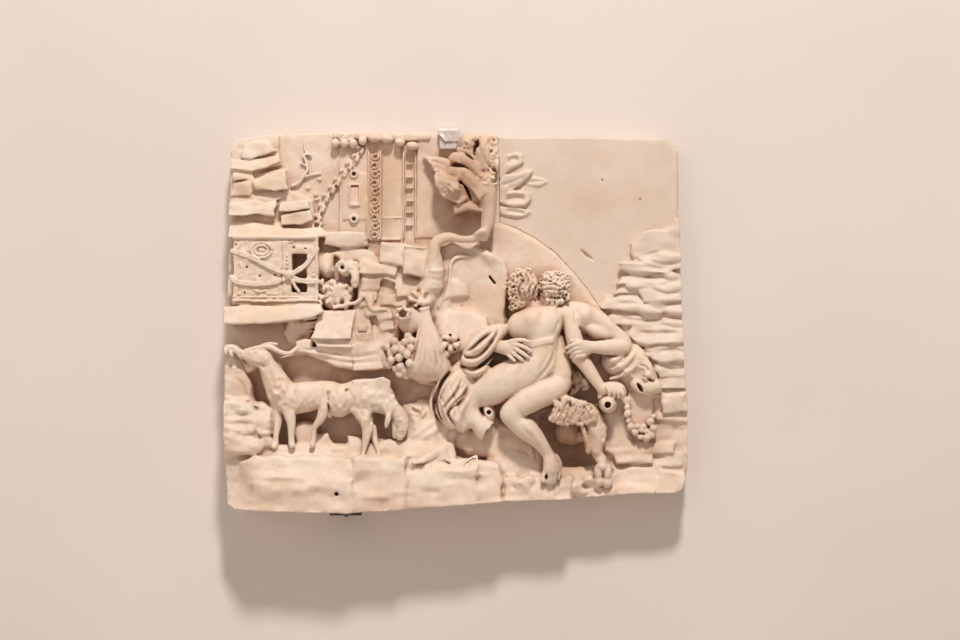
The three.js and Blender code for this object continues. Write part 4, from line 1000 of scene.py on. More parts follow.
def carve_corner(stone):
    """The newer corner: leaf tips beside the joint and smooth bedded rocks at the right edge."""
    tips = (
        ([(46, 166), (52, 176), (56, 184), (66, 187), (73, 185), (75, 176), (68, 172), (60, 168),
            (50, 158), (46, 156)], 33, 0.02),
        ([(46, 154), (54, 162), (66, 165), (76, 168), (84, 168), (82, 160), (74, 150), (62, 144),
            (48, 140)], 34, -0.05),
        ([(76, 160), (86, 161), (98, 158), (102, 154), (92, 148), (80, 149), (72, 153)], 30, 0.05),
        ([(46, 143), (60, 146), (74, 146), (82, 141), (83, 134), (76, 127), (66, 126), (47, 131)],
            33, 0.05),
        ([(46, 129), (60, 128), (72, 126), (82, 121), (78, 116), (66, 114), (48, 118)], 31, 0.1),
        ([(48, 116), (60, 114), (72, 110), (66, 106), (50, 108)], 28, 0.1),
    )
    for outline, front, lean in tips:
        stone.add(plate(outline, front, 15, soft=3, rough=1.2, lean=lean), 1)
    for vein, width, height in (
        ([(56, 176), (63, 180), (68, 178)], 2.4, -3.4), ([(50, 150), (62, 154), (76, 160)], 1.6, -1.6),
            ([(54, 141), (66, 142), (74, 140)], 1.4, 1.2),
        ([(54, 134), (66, 136), (76, 136)], 2.8, -3.6), ([(54, 122), (66, 121), (76, 119)], 1.6, -2.0),
            ([(80, 154), (90, 155), (98, 155)], 1.2, -1.2),
        ([(56, 147), (68, 150), (78, 156)], 2.6, -2.0),
    ):
        trace(stone, vein, width, height, floor=26, taper=0.15)
    for x0, z0 in ((162, 156.5), (204, 135.5)):
        stone.cut(drill(x0, z0, 0.9, 20), 0.4)
    stone.cut(limb([(139, 78, 28, 1.2), (145, 73, 27.5, 1.6), (151, 68, 28, 0.8)]), 1.5)
    stone.cut(limb([(246, 182, 26.5, 0.8), (246.5, 150, 26.5, 1.0), (246, 112, 26.5, 0.8)], sink=1), 1)
    beds = [
        ([(246, 112), (240, 106), (232, 99), (222, 101), (208, 97), (194, 85), (192, 76), (198, 66),
            (206, 72), (218, 76), (250, 76), (252, 100)], 37, 0.05),
        ([(198, 68), (206, 74), (222, 76), (251, 76), (251, 58), (228, 54), (198, 55)], 40, 0.35),
        ([(177, 41), (182, 50), (198, 55), (252, 56), (252, 42), (222, 40), (200, 42)], 39, 0.4),
        ([(196, 42), (200, 44), (252, 44), (252, 22), (226, 20), (208, 22)], 43, 0.25),
        ([(174, 30), (182, 42), (200, 42), (206, 30)], 36, 0.3),
        ([(158, 12), (166, 26), (200, 29), (214, 23), (228, 14), (226, 9)], 40, 0.4),
        ([(206, 24), (252, 24), (252, 8), (228, 10)], 41, 0.35),
        ([(160, -2), (172, 9), (206, 10), (252, 10), (252, -3), (200, -6)], 38, 0.45),
        ([(186, -20), (196, -4), (252, -3), (252, -24), (212, -26)], 44, 0.4),
        ([(210, -26), (216, -22), (254, -22), (255, -44), (226, -46), (216, -42)], 44, 0.35),
        ([(218, -48), (228, -44), (256, -44), (257, -60), (226, -62)], 43, 0.35),
        ([(222, -64), (234, -60), (257, -60), (258, -76), (226, -76)], 45, 0.3),
    ]
    stone.add(plate([(250, 108), (222, 97), (196, 76), (184, 44), (166, 14), (190, -18), (222, -66),
        (257, -76), (254, 100)], 34, 8, soft=6, rough=2), 4)
    for outline, front, lean in beds:
        stone.add(plate(outline, 0.8 * front + 7.5, 8, soft=2.4, rough=1.8, lean=0.9 * lean), 1.8)
    rocks = [(150, 20), (190, 60), (190, 100), (256, 116), (258, -78), (222, -78)]
    texture(stone, rocks, 0.7, 9, 108, stretch=(2, 1), floor=29)
    texture(stone, rocks, 0.45, 4, 109, stretch=(4, 1), floor=29)
    for facet in (
        [(196, 70), (212, 60), (232, 57)], [(204, 52), (222, 48), (246, 49)],
            [(214, 36), (232, 30), (250, 33)], [(176, 20), (196, 18), (216, 12)],
        [(180, 4), (204, 0), (236, 2)], [(200, -12), (224, -14), (250, -10)],
            [(222, -34), (240, -32), (254, -36)], [(228, -52), (242, -54), (255, -51)],
    ):
        trace(stone, facet, 1.6, -1.8, floor=29)
        trace(stone, [(x0 - 1, z0 + 4.5) for x0, z0 in facet], 2.6, 1.2, floor=29)
    swells = np.random.default_rng(41)
    for _ in range(26):
        z0 = swells.uniform(-70, 74)
        x0 = swells.uniform(max(190, 225 - (z0 + 70)), 248)
        stone.add(boss(x0, z0, 38, swells.uniform(9, 20), swells.uniform(3, 5),
            5, turn=swells.uniform(-12, 6), rough=1.2), 3)


def coils(stone, places, radius, seed):
    """Small curls of hair worked on the surface: a raised coil round a dark middle."""
    turns = np.random.default_rng(seed)
    for x0, z0 in places:
        start, way = turns.uniform(0, 6.3), turns.choice((-1, 1))
        coil = []
        for i in range(6):
            angle, reach = start + way * 0.9 * i, radius * (1.15 - 0.1 * i)
            coil.append((x0 + reach * math.cos(angle), z0 + reach * math.sin(angle)))
        trace(stone, coil, 1.0, 1.5, floor=40, taper=0.1, steps=2)
        trace(stone, [(x0 - 0.5, z0), (x0 + 0.5, z0)], 0.8, -2.2, floor=40, taper=0, steps=1)


def lock(stone, stations):
    """A wavy lock of hair, with a groove along its middle."""
    stone.add(limb(stations, flat=0.9), 0.6)
    stone.cut(limb([(x0, z0, depth + 0.85 * r, 0.45) for x0, z0, depth, r in stations]), 0.4)


def carve_hollows(stone):
    """The deep ground behind the couple: the cave at their feet and the recesses between the limbs."""
    stone.cut(plate([(92, -104), (112, -100), (150, -106), (158, -130), (152, -168), (96, -172),
        (86, -150)], AIR, 15, soft=5, rough=2), 4)
    stone.cut(plate([(34, -112), (62, -104), (96, -132), (100, -168), (52, -172), (40, -140)],
        AIR, 22, soft=5, rough=2), 4)
    stone.cut(plate([(116, -28), (128, -38), (150, -66), (160, -88), (150, -96), (122, -92), (114, -60)],
        AIR, 18, soft=4, rough=1.5), 3)
    stone.cut(plate([(146, -38), (164, -40), (172, -66), (162, -72), (150, -56)],
        AIR, 22, soft=3, rough=1), 3)
    stone.cut(plate([(28, -32), (56, -32), (56, -48), (30, -56)], AIR, 24, soft=3, rough=1), 3)
    stone.cut(plate([(55, 26), (72, 18), (92, 22), (92, 8), (60, 0), (55, 4)], AIR, 24, soft=3, rough=1), 2)
    stone.add(plate([(14, -112), (42, -104), (74, -124), (98, -146), (98, -170), (51, -168), (34, -150),
        (10, -146), (8, -124)], 43, 15, soft=8, rough=2.4, lean=0.12), 6)
    texture(stone, [(14, -112), (42, -104), (98, -146), (98, -170), (51, -168), (30, -146)],
        1.2, 8, 111, stretch=(1.6, 1), floor=28)
    texture(stone, [(94, -104), (150, -104), (156, -168), (98, -170)], 2.0, 5, 112, floor=15, ceiling=52)
    stone.add(boss(126, -122, 30, 18, 16, 12, turn=20, rough=2), 3)
    stone.cut(limb([(113, -137, 40, 1.3), (116, -142, 40, 1.9), (117, -145, 40, 1.2)], sink=0.15), 0.5)
    for crack in ([(60, -138), (66, -142), (76, -140)], [(66, -146), (74, -144), (82, -150)],
            [(84, -138), (88, -146), (86, -154)]):
        trace(stone, crack, 1.0, -1.6, floor=30)
    locks = ((134, -58, -10), (138, -64, -8), (128, -56, -14), (142, -70, -6), (131, -68, -12),
        (126, -74, -9))
    for x0, z0, drop in locks:
        lock(stone, [(x0, z0, 34, 2.2), (x0 + 3, z0 + drop / 2, 36, 2.8), (x0 - 1, z0 + drop, 35, 1.8)])
    stone.add(boss(142, -67, 44, 3, 5, 4, turn=30, rough=0.4), 1)
    stone.add(plate([(158, -84), (194, -84), (196, -120), (190, -152), (164, -152), (160, -120)],
        41, 12, soft=5, rough=2, lean=-0.05), 5)


def carve_woman(stone):
    """The woman, seen from behind: she sits turned to the left with one shin broken away."""
    torso = together(
        limb([(73, -6, 50, 17), (88, -1, 51, 18), (101, -1, 50, 16.5)], flat=0.95),
        limb([(94, -10, 51, 19), (94, -24, 51, 18), (93, -38, 52, 19), (84, -52, 53, 21), (70, -60, 54, 22),
              (52, -68, 55, 21), (37, -75, 55, 18.5), (25, -81, 53, 14)], flat=0.9),
        boss(103, -48, 44, 13, 18, 14),
        blend=8,
    )
    stone.add(limb([(108, -24, 46, 12), (113, -42, 50, 12), (115, -58, 52, 12)], flat=0.8), 2)
    stone.add(torso, 1.2)
    for i in range(3):
        cord = [(72, -25.6 - 2.4 * i), (82, -23.6 - 2.4 * i), (94, -20.8 - 2.4 * i), (108, -18.4 - 2.2 * i)]
        trace(stone, cord, 1.1, 2.1, floor=48, taper=0.05)
    for crease, width, height in (
        ([(108, -30), (104, -44), (96, -56), (84, -68)], 1.6, -2.2),
            ([(102, -32), (97, -44), (90, -54)], 1.4, -1.2),
        ([(76, 12), (74, 2), (78, -8)], 2.6, -1.4), ([(96, 12), (92, 0), (92, -12)], 2.2, -1.6),
            ([(84, -32), (70, -46), (50, -56)], 3.0, 1.2),
        ([(60, -46), (44, -54), (30, -60)], 2.4, -1.0),
    ):
        trace(stone, crease, width, height, floor=50)
    for form, width, height in (
        ([(80, 10), (84, 2), (80, -8)], 5.0, 1.0), ([(86, -30), (78, -42), (64, -52)], 5.0, 0.9),
            ([(104, -12), (106, -22), (104, -32)], 4.0, 0.9),
        ([(40, -62), (56, -58), (70, -52)], 5.0, 0.8), ([(98, -62), (84, -74), (70, -82)], 3.0, -1.0),
    ):
        trace(stone, form, width, height, floor=52, taper=0.4)
    # The line of the spine, the creases at the waist and the fold between hip and thigh.
    stone.cut(limb([(91, 8, 70, 1.4), (92, -8, 71.5, 1.6), (91, -17, 71.5, 1.2)], sink=1), 3)
    stone.cut(limb([(93, -28, 71, 1.0), (90, -38, 73, 1.4), (84, -48, 76, 1.2)], sink=1), 3)
    stone.cut(limb([(109, -38, 65, 0.8), (104, -50, 67, 1.2), (94, -60, 70, 1.2), (84, -67, 73, 0.8)],
        sink=1), 1.8)
    stone.cut(limb([(104, -36, 69, 0.6), (98, -50, 71, 1.0), (89, -61, 73, 0.8)], sink=1), 1.8)
    stone.cut(limb([(112, -2, 62, 1.2), (109, -12, 65, 1.6), (104, -16, 68, 1)], sink=1), 3)
    stone.add(boss(80, 2, 60, 10, 9, 9, turn=20, sink=1), 6)
    # The stump of her near shin and the broken knee above it, with its dowel hole.
    stump = together(
        limb([(8, -98, 50, 12), (20, -108, 53, 12.5), (33, -119.5, 55, 11.8)], flat=0.9, steps=1),
        limb([(24, -82, 52, 13), (14, -94, 51, 12)], steps=1),
        blend=4,
    )
    stone.add(stump, 1)
    stone.cut(plate([(30, -125), (32.5, -119), (36, -118), (38, -113), (52, -108), (56, -140), (26, -140)],
        AIR, 44, soft=0.3, rough=1.2), 0.5)
    stone.add(boss(35.5, -100.5, 50, 7.2, 11, 14, turn=14, sink=0.3, rough=0.6), 0.8)
    trace(stone, [(27, -94), (28, -100), (31, -106)], 1.6, -2.4, floor=46)
    stone.cut(drill(35.8, -100.3, 2.6, 42), 0.3)
    # Her arm hangs down past the man's grip to the jug.
    arm = together(
        limb([(119, 8, 48, 10), (125, 4, 50, 10), (128, -10, 53, 9.8), (131, -26, 56, 9.2),
            (134, -38, 58, 8.4)], flat=0.95),
        limb([(134, -38, 58, 8.4), (143, -50, 59, 7.8), (153, -65, 60, 6.4), (161, -76, 60, 5.4)],
            flat=0.9),
        blend=3,
    )
    stone.add(arm, 1)
    hand = together(
        limb([(161, -75, 60, 5.6), (168, -74, 61, 7.5), (176, -75, 60, 7.0)], flat=0.8),
        limb([(174, -72, 60, 4.5), (181, -74, 59, 4.2), (184, -80, 57, 3.2)]),
        blend=3,
    )
    stone.add(hand, 1)
    for i in range(4):
        x0 = 165 + 5.0 * i
        finger = [(x0, -72 - 0.8 * i, 66 - 0.8 * i, 2.3), (x0 + 2.4, -77 - 0.8 * i, 67.5 - i, 2.3),
            (x0 + 2.6, -83 - 0.4 * i, 65 - i, 1.9)]
        stone.add(limb(finger), 0.6)
    # The end of the jug that she holds.
    stone.add(boss(166.8, -90.8, 54, 10.2, 10.4, 10, sink=0.3), 0.8)
    stone.add(limb([(167, -91, 50, 9.5), (166, -91, 62, 8.6)], sink=1, steps=1), 1)
    stone.cut(drill(165.7, -91.9, 3.7, 46), 0.6)
    stone.add(limb([(104, 20, 46, 8), (106, 12, 48, 9)]), 3)


def carve_man(stone):
    """The man behind her: one hand on her back, the other gripping her arm, one leg in front."""
    shoulders = together(
        boss(136, 0, 40, 24, 15, 15),
        boss(141.5, 6.5, 46, 11.5, 11, 13),
        limb([(118, 14, 42, 8), (136, 12, 44, 9), (154, 4, 44, 9)]),
        limb([(154, 2, 44, 10), (170, -8, 45, 10.5), (183, -22, 46, 9.5)], flat=0.9),
        blend=4,
    )
    stone.add(shoulders, 1.2)
    stone.add(boss(156, -12, 47, 16, 8.5, 11, turn=-24), 1.5)
    stone.cut(limb([(136, -8, 57, 1.6), (142, -16, 56, 2.6), (150, -22, 55, 2.2), (162, -22, 54, 1.4)],
        sink=0.3), 2)
    stone.cut(limb([(146, 0, 60, 1.0), (152, -3, 58, 1.4), (160, -4, 56, 1.0)]), 2)
    stone.cut(limb([(131, 12, 56, 0.8), (130, 2, 60, 1.4), (135, -6, 59, 1.2)]), 2)
    # Forearm from the right, with the hand closed round her arm.
    stone.add(limb([(185, -28, 48, 9), (172, -29, 54, 8.8), (158, -29, 60, 7.4), (149, -28.5, 64, 6.2)],
        flat=0.95), 1)
    grip = together(
        limb([(149, -28.5, 64, 6.0), (140, -28, 66.5, 7.2), (133, -26, 66, 5.4)], flat=0.8),
        limb([(142, -33, 65, 5.4), (136, -36, 65, 4.6)], flat=0.8),
        blend=3,
    )
    stone.add(grip, 0.8)
    for i in range(4):
        x0, z0 = 136.5 + 1.0 * i, -24.4 - 4.5 * i
        finger = [(x0, z0, 69.5 - 0.5 * i, 2.5), (x0 - 7, z0 - 1.2, 70.0 - 0.6 * i, 2.5),
            (x0 - 14 + 1.4 * i, z0 - 4.2, 66 - 0.4 * i, 2.1), (x0 - 17 + 2 * i, z0 - 6, 62, 1.7)]
        stone.add(limb(finger, sink=0.6), 0.5)
    stone.add(limb([(140, -24, 68, 2.6), (133, -21.5, 69, 2.4), (126, -22, 67, 2.0)]), 0.6)
    # The hand spread on her back.
    palm = together(
        limb([(40, -27, 56, 6), (48, -28.5, 61, 7), (57, -29.5, 65, 8.6)], flat=0.75),
        boss(60, -31, 64, 7.5, 9.0, 6, turn=30),
        blend=3,
    )
    stone.add(palm, 0.8)
    fingers = (
        [(59, -22.5, 68.5, 2.5), (68, -20.8, 71, 2.4), (74, -21.2, 71.5, 2.2), (80, -23, 71, 1.7)],
        [(62, -25.5, 69.5, 2.6), (70, -27, 72, 2.4), (77, -30, 72.8, 2.2), (82.5, -33.5, 72.4, 1.7)],
        [(62.5, -29.5, 69.5, 2.6), (69, -33, 72.5, 2.4), (75, -37, 73.5, 2.1), (79, -40, 73, 1.6)],
        [(60, -33.5, 69, 2.5), (65, -37.5, 72, 2.3), (70, -41, 73.5, 2.0), (73, -43.5, 73, 1.5)],
        [(56, -36, 68, 2.3), (60, -40, 70, 2.1), (64, -43.5, 72, 1.6)],
    )
    for finger in fingers:
        stone.add(limb(finger, sink=0.5), 0.5)
    # The bent leg that comes forward, its knee and calf, and the foot with its drilled holes.
    leg = together(
        limb([(114, -68, 50, 13), (106, -75, 56, 15), (92, -81, 61, 15.5), (78, -88, 64, 14.8),
            (64, -97, 65, 12.6), (60, -102, 64, 11.4)], flat=0.9),
        limb([(60, -102, 64, 11.4), (67, -110, 63, 12.2), (76, -118, 62, 12.4), (86, -127, 61, 10),
            (95, -138, 60, 7.4), (101, -147, 60, 6.2)], flat=0.95),
        blend=4,
    )
    stone.add(leg, 1)
    trace(stone, [(70, -108), (80, -105), (92, -100), (104, -92)], 2.2, -2.0, floor=50)
    stone.cut(limb([(68, -112, 76, 0.6), (80, -126, 72.5, 1.1), (92, -140, 68, 0.7)], sink=1), 3)
    foot = together(
        limb([(101, -147, 60, 6.4), (103, -154, 62, 7.8), (104, -163, 63, 9.2), (103, -170, 62, 9.6)],
            flat=0.85),
        limb([(109, -150, 57, 4), (112, -157, 58, 4.5), (111, -164, 60, 4.5)]),
        blend=3,
    )
    stone.add(foot, 1)
    for i in range(5):
        x0 = 95.5 + 4.0 * i
        stone.add(limb([(x0 + 0.5, -168, 66 - 0.5 * i, 2.7),
            (x0 - 0.2, -174.5 + 0.5 * i, 66 - 0.6 * i, 2.4 if i else 3.0)]), 0.8)
    stone.cut(drill(98.4, -170.5, 1.7, 58), 0.3)
    for i in range(4):
        x0 = 98.2 + 4.1 * i
        trace(stone, [(x0 + 1, -165), (x0 + 0.6, -170), (x0 - 0.2, -176)], 0.8, -1.8, floor=50, taper=0.2)
    for tendon in ([(101, -150), (99, -158), (97.5, -166)], [(105, -152), (106, -160), (106, -167)],
            [(109, -154), (112, -161), (113, -167)]):
        trace(stone, tendon, 1.6, 0.9, floor=50)
    trace(stone, [(74, -112), (84, -122), (94, -136), (99, -146)], 1.8, 1.0, floor=56)
    trace(stone, [(66, -96), (72, -102), (74, -108)], 2.4, -1.0, floor=60)
    # The goat's leg and its cloven hoof.
    hock = together(
        limb([(144, -102, 46, 12), (150, -112, 49, 13), (154, -124, 52, 11.5), (153, -138, 54, 7.4),
            (157, -149, 55, 5.6), (161, -157, 56, 5.8)]),
        boss(136.5, -127.5, 48, 4.5, 6, 6),
        blend=3,
        rough=0.5,
    )
    stone.add(hock, 1)
    stone.cut(limb([(140, -113, 66, 1.2), (143, -124, 66, 1.6), (146, -136, 62, 1.0)], sink=0.4), 0.8)
    texture(stone, [(134, -100), (128, -120), (140, -150), (152, -162), (168, -160), (170, -104)],
        1.5, 3.4, 104, stretch=(1, 1.5), floor=44, edge=4)
    for i in range(7):
        t = i / 6
        stone.add(boss(138 + 7 * t, -112 - 30 * t, 60 - 3 * t, 3.2, 4.2, 4, turn=20, sink=0.5, rough=1.2),
            1)
    for x0, z0, depth, wide, tall in ((156, -166, 56, 5, 9), (166, -166, 55, 5, 9), (160, -160, 58, 6, 5),
            (157, -176, 54, 6, 6), (166, -177, 53, 6, 7)):
        stone.add(boss(x0, z0, depth, wide, tall, 7, sink=0.4, rough=0.6), 0.8)
    stone.cut(limb([(161, -160, 66, 0.8), (161.5, -178, 63, 0.9)], sink=0.4), 0.6)
    # The fleece that spreads over his other thigh: a fan of locks from the right, ragged at its rim.
    stone.add(plate([(101, -105), (107, -91), (121, -81), (140, -88), (156, -100), (153, -108),
        (140, -111), (122, -113), (108, -110)], 70, 40, soft=4, rough=1.2, lean=-0.1), 1.5)
    ragged = np.random.default_rng(12)
    for i in range(34):
        t = (i + ragged.uniform(-0.4, 0.4)) / 33
        rim = (102 + 50 * t, -108 - 6 * math.sin(3.1 * t) + ragged.uniform(-1.5, 2.5))
        top = (116 + 32 * t + ragged.uniform(-2, 2), -86 - 9 * t)
        middle = ((rim[0] + top[0]) / 2 + ragged.uniform(0.5, 4), (rim[1] + top[1]) / 2 + 2)
        trace(stone, [top, middle, rim], 0.8 + 0.3 * (i % 3),
            1.0 if i % 2 else -1.3, floor=50, taper=0.05, steps=3)
        for _ in range(2):
            x0, z0 = ragged.uniform(106, 150), ragged.uniform(-107, -89)
            lean = ragged.uniform(-0.5, 1.2)
            wisp = [(x0 + 2 * lean, z0 + 3), (x0 + ragged.uniform(-1, 1), z0), (x0 - 2 * lean, z0 - 3.5)]
            trace(stone, wisp, 0.8, ragged.choice((-1.6, 1.4)), floor=50, taper=0.2, steps=3)
        if i % 2:
            stone.add(boss(rim[0], rim[1] + 1, 65, 2.4, 3.0, 3.6, turn=ragged.uniform(-50, 20),
                sink=0.6, rough=0.8), 1.2)
    texture(stone, [(100, -112), (106, -84), (128, -78), (156, -92), (154, -106), (128, -116)],
        0.6, 2.2, 103, floor=48, edge=4)


def carve_heads(stone):
    """The two heads, pressed together so that no face shows: curls at the left, waved rows at right."""
    stone.add(together(boss(76, 38, 48, 15, 17, 16), boss(70, 22, 46, 11, 10, 12),
        limb([(84, 20, 44, 9), (88, 10, 44, 10)]), blend=4), 1.5)
    curls = (
        (67.8, 55, 56), (62.3, 49, 55), (59.4, 40, 54), (64.5, 33, 58), (71.5, 44.5, 62), (73.5, 52.5, 60),
        (66.5, 41.5, 60), (59.6, 31.5, 54), (66, 25.5, 57), (60.2, 22.5, 53), (72, 34.5, 63), (65, 16, 54),
        (71, 18, 56), (60.4, 14.5, 50), (79, 55, 56),
    )
    for x0, z0, depth in curls:
        stone.add(boss(x0 + 0.8, z0, depth - 1.5, 3.6, 3.6, 3.6, rough=0.8), 1.6)
    for i in range(9):
        t = i / 8
        sweep = [(66 + 24 * t, 54 - 3 * t), (70 + 24 * t, 44 - 2 * t), (66 + 22 * t, 34), (70 + 16 * t, 24)]
        trace(stone, sweep, 1.3, -2.0 if i % 2 else 1.6, floor=44, taper=0.1)
    for i in range(7):
        x0 = 75 + 2.9 * i
        strand = [(x0 - 2, 55 - 1.2 * i), (x0 + 2.4, 44 - 1.0 * i), (x0 - 0.6, 33 - 0.6 * i), (x0 - 5, 23)]
        trace(stone, strand, 1.3, 2.0, floor=46, taper=0.1)
        trace(stone, [(x + 1.5, z - 1) for x, z in strand], 0.8, -2.8, floor=46, taper=0.1)
    coils(stone, [(x0, z0) for x0, z0, _ in curls] + [(56, 44), (56, 35), (57, 27), (63, 37), (68, 49),
        (62, 19)], 2.5, 31)
    stone.add(together(boss(108, 39.5, 48, 17, 15.5, 15), limb([(100, 26, 46, 9), (103, 16, 46, 8)]),
        blend=4), 1.2)
    for row in range(6):
        z0 = 52 - 5.0 * row
        reach = 15.5 - 0.5 * (row - 2.5) ** 2
        line = [(108.5 + reach * (i / 3 - 1), z0 + 1.6 * math.sin(2.4 * i + row)) for i in range(7)]
        trace(stone, line, 1.7, 2.2, floor=42, taper=0.1)
        trace(stone, [(x0, z0 - 2.6) for x0, z0 in line], 0.9, -2.4, floor=42, taper=0.1)
        coils(stone, [(x0, z0 + 0.6 * (-1) ** k) for k, (x0, z0) in enumerate(line)], 2.3, 32 + row)
    for x0, z0, drop in ((99, 27, -9), (104, 26, -11), (109.5, 24, -8), (115, 24, -5), (121, 27, -4)):
        lock(stone, [(x0, z0, 56, 2.2), (x0 + 1.6, z0 + drop / 2, 57, 2.3), (x0 - 0.5, z0 + drop, 55, 1.4)])
    for z0 in (49, 42.5, 35.5, 29):
        stone.add(boss(122.5, z0, 50, 3.4, 3.6, 4, rough=0.8), 1.4)
    coils(stone, [(122, 49), (122, 42.5), (122, 35.5), (121, 29)], 2.4, 40)
    hair = [(54, 60), (52, 12), (66, 10), (78, 26), (92, 26), (92, 56), (74, 62)]
    texture(stone, hair, 1.0, 3.0, 101, stretch=(0.8, 1.5), floor=44, edge=3)
    texture(stone, [(94, 60), (92, 26), (100, 18), (118, 20), (128, 30), (128, 52), (112, 60)],
        1.2, 3.0, 102, stretch=(1.6, 0.8), floor=44, edge=3)


def carve_drapery(stone):
    """Her cloak: a rolled bundle on the hip, and long curved folds that fall to the left."""
    stone.add(limb([(54, -8, 50, 5), (42, -14, 56, 10), (28, -28, 57, 13), (17, -44, 57, 12.5),
        (22, -54, 56, 9)], sink=0.3), 1.5)
    stone.add(limb([(4, -50, 46, 6), (0, -66, 50, 14), (-6, -84, 51, 16), (-4, -102, 50, 15),
        (6, -112, 48, 11)], sink=0.3), 2)
    # Folds of the bundle swing from the hip down to the left; those below fall round to the shin.
    bundle = (
        ([(46, -9), (36, -20), (26, -29), (11, -36)], 3.2),
            ([(49, -13), (41, -27), (31, -39), (19, -45), (9, -43)], 3.2),
        ([(55, -15), (47, -30), (38, -43), (29, -54), (17, -59), (7, -56)], 3.6),
            ([(40, -7), (27, -14), (16, -25), (9, -34)], 2.6),
    )
    valleys = (
        [(42, -17), (34, -29), (23, -39), (12, -40), (8, -37)],
            [(51, -18), (43, -33), (34, -43), (23, -51), (11, -51), (5, -48)],
        [(43, -11), (30, -19), (19, -29), (11, -34)], [(47, -10), (40, -20), (36, -26)],
    )
    lower = (
        [(-8, -55), (-19, -69), (-24, -84), (-23, -97), (-17, -109), (-6, -118)],
            [(2, -56), (-11, -72), (-17, -86), (-15, -101), (-7, -113), (4, -119)],
        [(9, -62), (-2, -76), (-10, -90), (-9, -102), (-2, -113), (6, -119)],
            [(14, -68), (6, -82), (-5, -93), (-5, -104), (1, -113)],
        [(16, -75), (10, -90), (5, -100), (3, -110), (8, -118)],
    )
    gutters = (
        [(-5, -53), (-15, -66), (-21, -84), (-20, -99), (-13, -111), (0, -119)],
            [(-2, -60), (-13, -76), (-17.5, -90), (-14, -104), (-6, -114)],
        [(7, -63), (0, -77), (-10, -90), (-14, -99)], [(15, -68), (8, -80), (-2, -90), (-9, -100),
            (-6, -109), (0, -116)],
        [(12, -78), (4, -89), (-5, -96), (-8, -102), (-3, -111), (4, -118)],
    )
    stone.add(limb([(4, -58, 46, 9), (12, -66, 50, 10), (18, -78, 50, 9)], sink=0.3), 3)
    hem = [(-27, -108), (-12, -114), (14, -118), (31, -120), (30, -140), (14, -146), (-4, -140),
        (-24, -140)]
    stone.add(plate(hem, 44, 12, soft=4, rough=2, lean=-0.1), 4)
    for fold, height in bundle:
        trace(stone, fold, 2.8, 1.3 * height, floor=46)
    for fold in lower:
        trace(stone, fold, 2.4, 4.6, floor=42)
    for valley in valleys:
        trace(stone, valley, 1.3, -5.4, floor=46)
    for gutter in gutters:
        trace(stone, gutter, 1.2, -5.6, floor=42)
    stone.add(limb([(2, -47, 45, 1.6), (-18, -64, 45, 2.0), (-28, -88, 44, 2.0), (-24, -108, 42, 1.8),
        (-14, -118, 40, 1.4)]), 0.8)
    trace(stone, [(2, -51), (-15, -66), (-24.5, -88), (-21, -106), (-12, -115)], 1.2, -4.5, floor=38)
    for i in range(6):
        x0 = -20 + 9 * i
        trace(stone, [(x0 + 3, -112), (x0, -124), (x0 - 2, -138)], 2.2 - 0.6 * (i % 2),
            1.4 if i % 2 else -2.0, floor=34, taper=0.3)
    for crease in (
        [(48, -20), (44, -30), (38, -38)], [(34, -16), (24, -24), (16, -32)],
            [(30, -48), (20, -54), (12, -54)], [(56, -22), (52, -32), (46, -40)],
        [(-20, -78), (-14, -90), (-15, -100)], [(-8, -70), (-2, -84), (2, -94)],
            [(4, -84), (2, -96), (4, -106)],
    ):
        trace(stone, crease, 0.9, -1.8, floor=44)
    # The far foot, and the leaf beside it.
    stone.add(limb([(-2, -118, 40, 7), (-7, -130, 42, 6.4), (-10, -138, 45, 6.2)], sink=0.4), 1)
    foot = together(
        limb([(-10, -138, 48, 6.2), (-20, -144, 55, 5.6), (-31, -150, 60, 4.8), (-40, -154, 62, 3.6)],
            flat=0.8),
        limb([(-8, -140, 47, 6.0), (-6, -150, 50, 6.2), (-6, -156, 54, 4.4)]),
        blend=3,
    )
    stone.add(foot, 0.8)
    for i in range(4):
        stone.add(boss(-46 + 3.2 * i, -155.4 + 0.6 * i, 65 + 0.6 * i, 2.4, 2.0, 2.2), 0.5)
    stone.cut(limb([(-44, -158.5, 63, 0.9), (-30, -156, 64, 1.3), (-14, -154, 62, 1.6),
        (-4, -159, 60, 1.0)], sink=0.4), 0.8)
    for edge in (
        [(3, -168, 64, 1.2), (7, -158, 63, 1.4), (14, -152, 60, 1.4), (22, -148, 56, 1.0)],
        [(3, -168, 64, 1.2), (13, -165, 65, 1.4), (21, -159, 63, 1.3), (23, -149, 57, 0.9)],
        [(4, -167, 64, 0.8), (13, -159, 64, 0.8), (21, -150, 58, 0.6)],
    ):
        stone.add(limb(edge), 0.7)


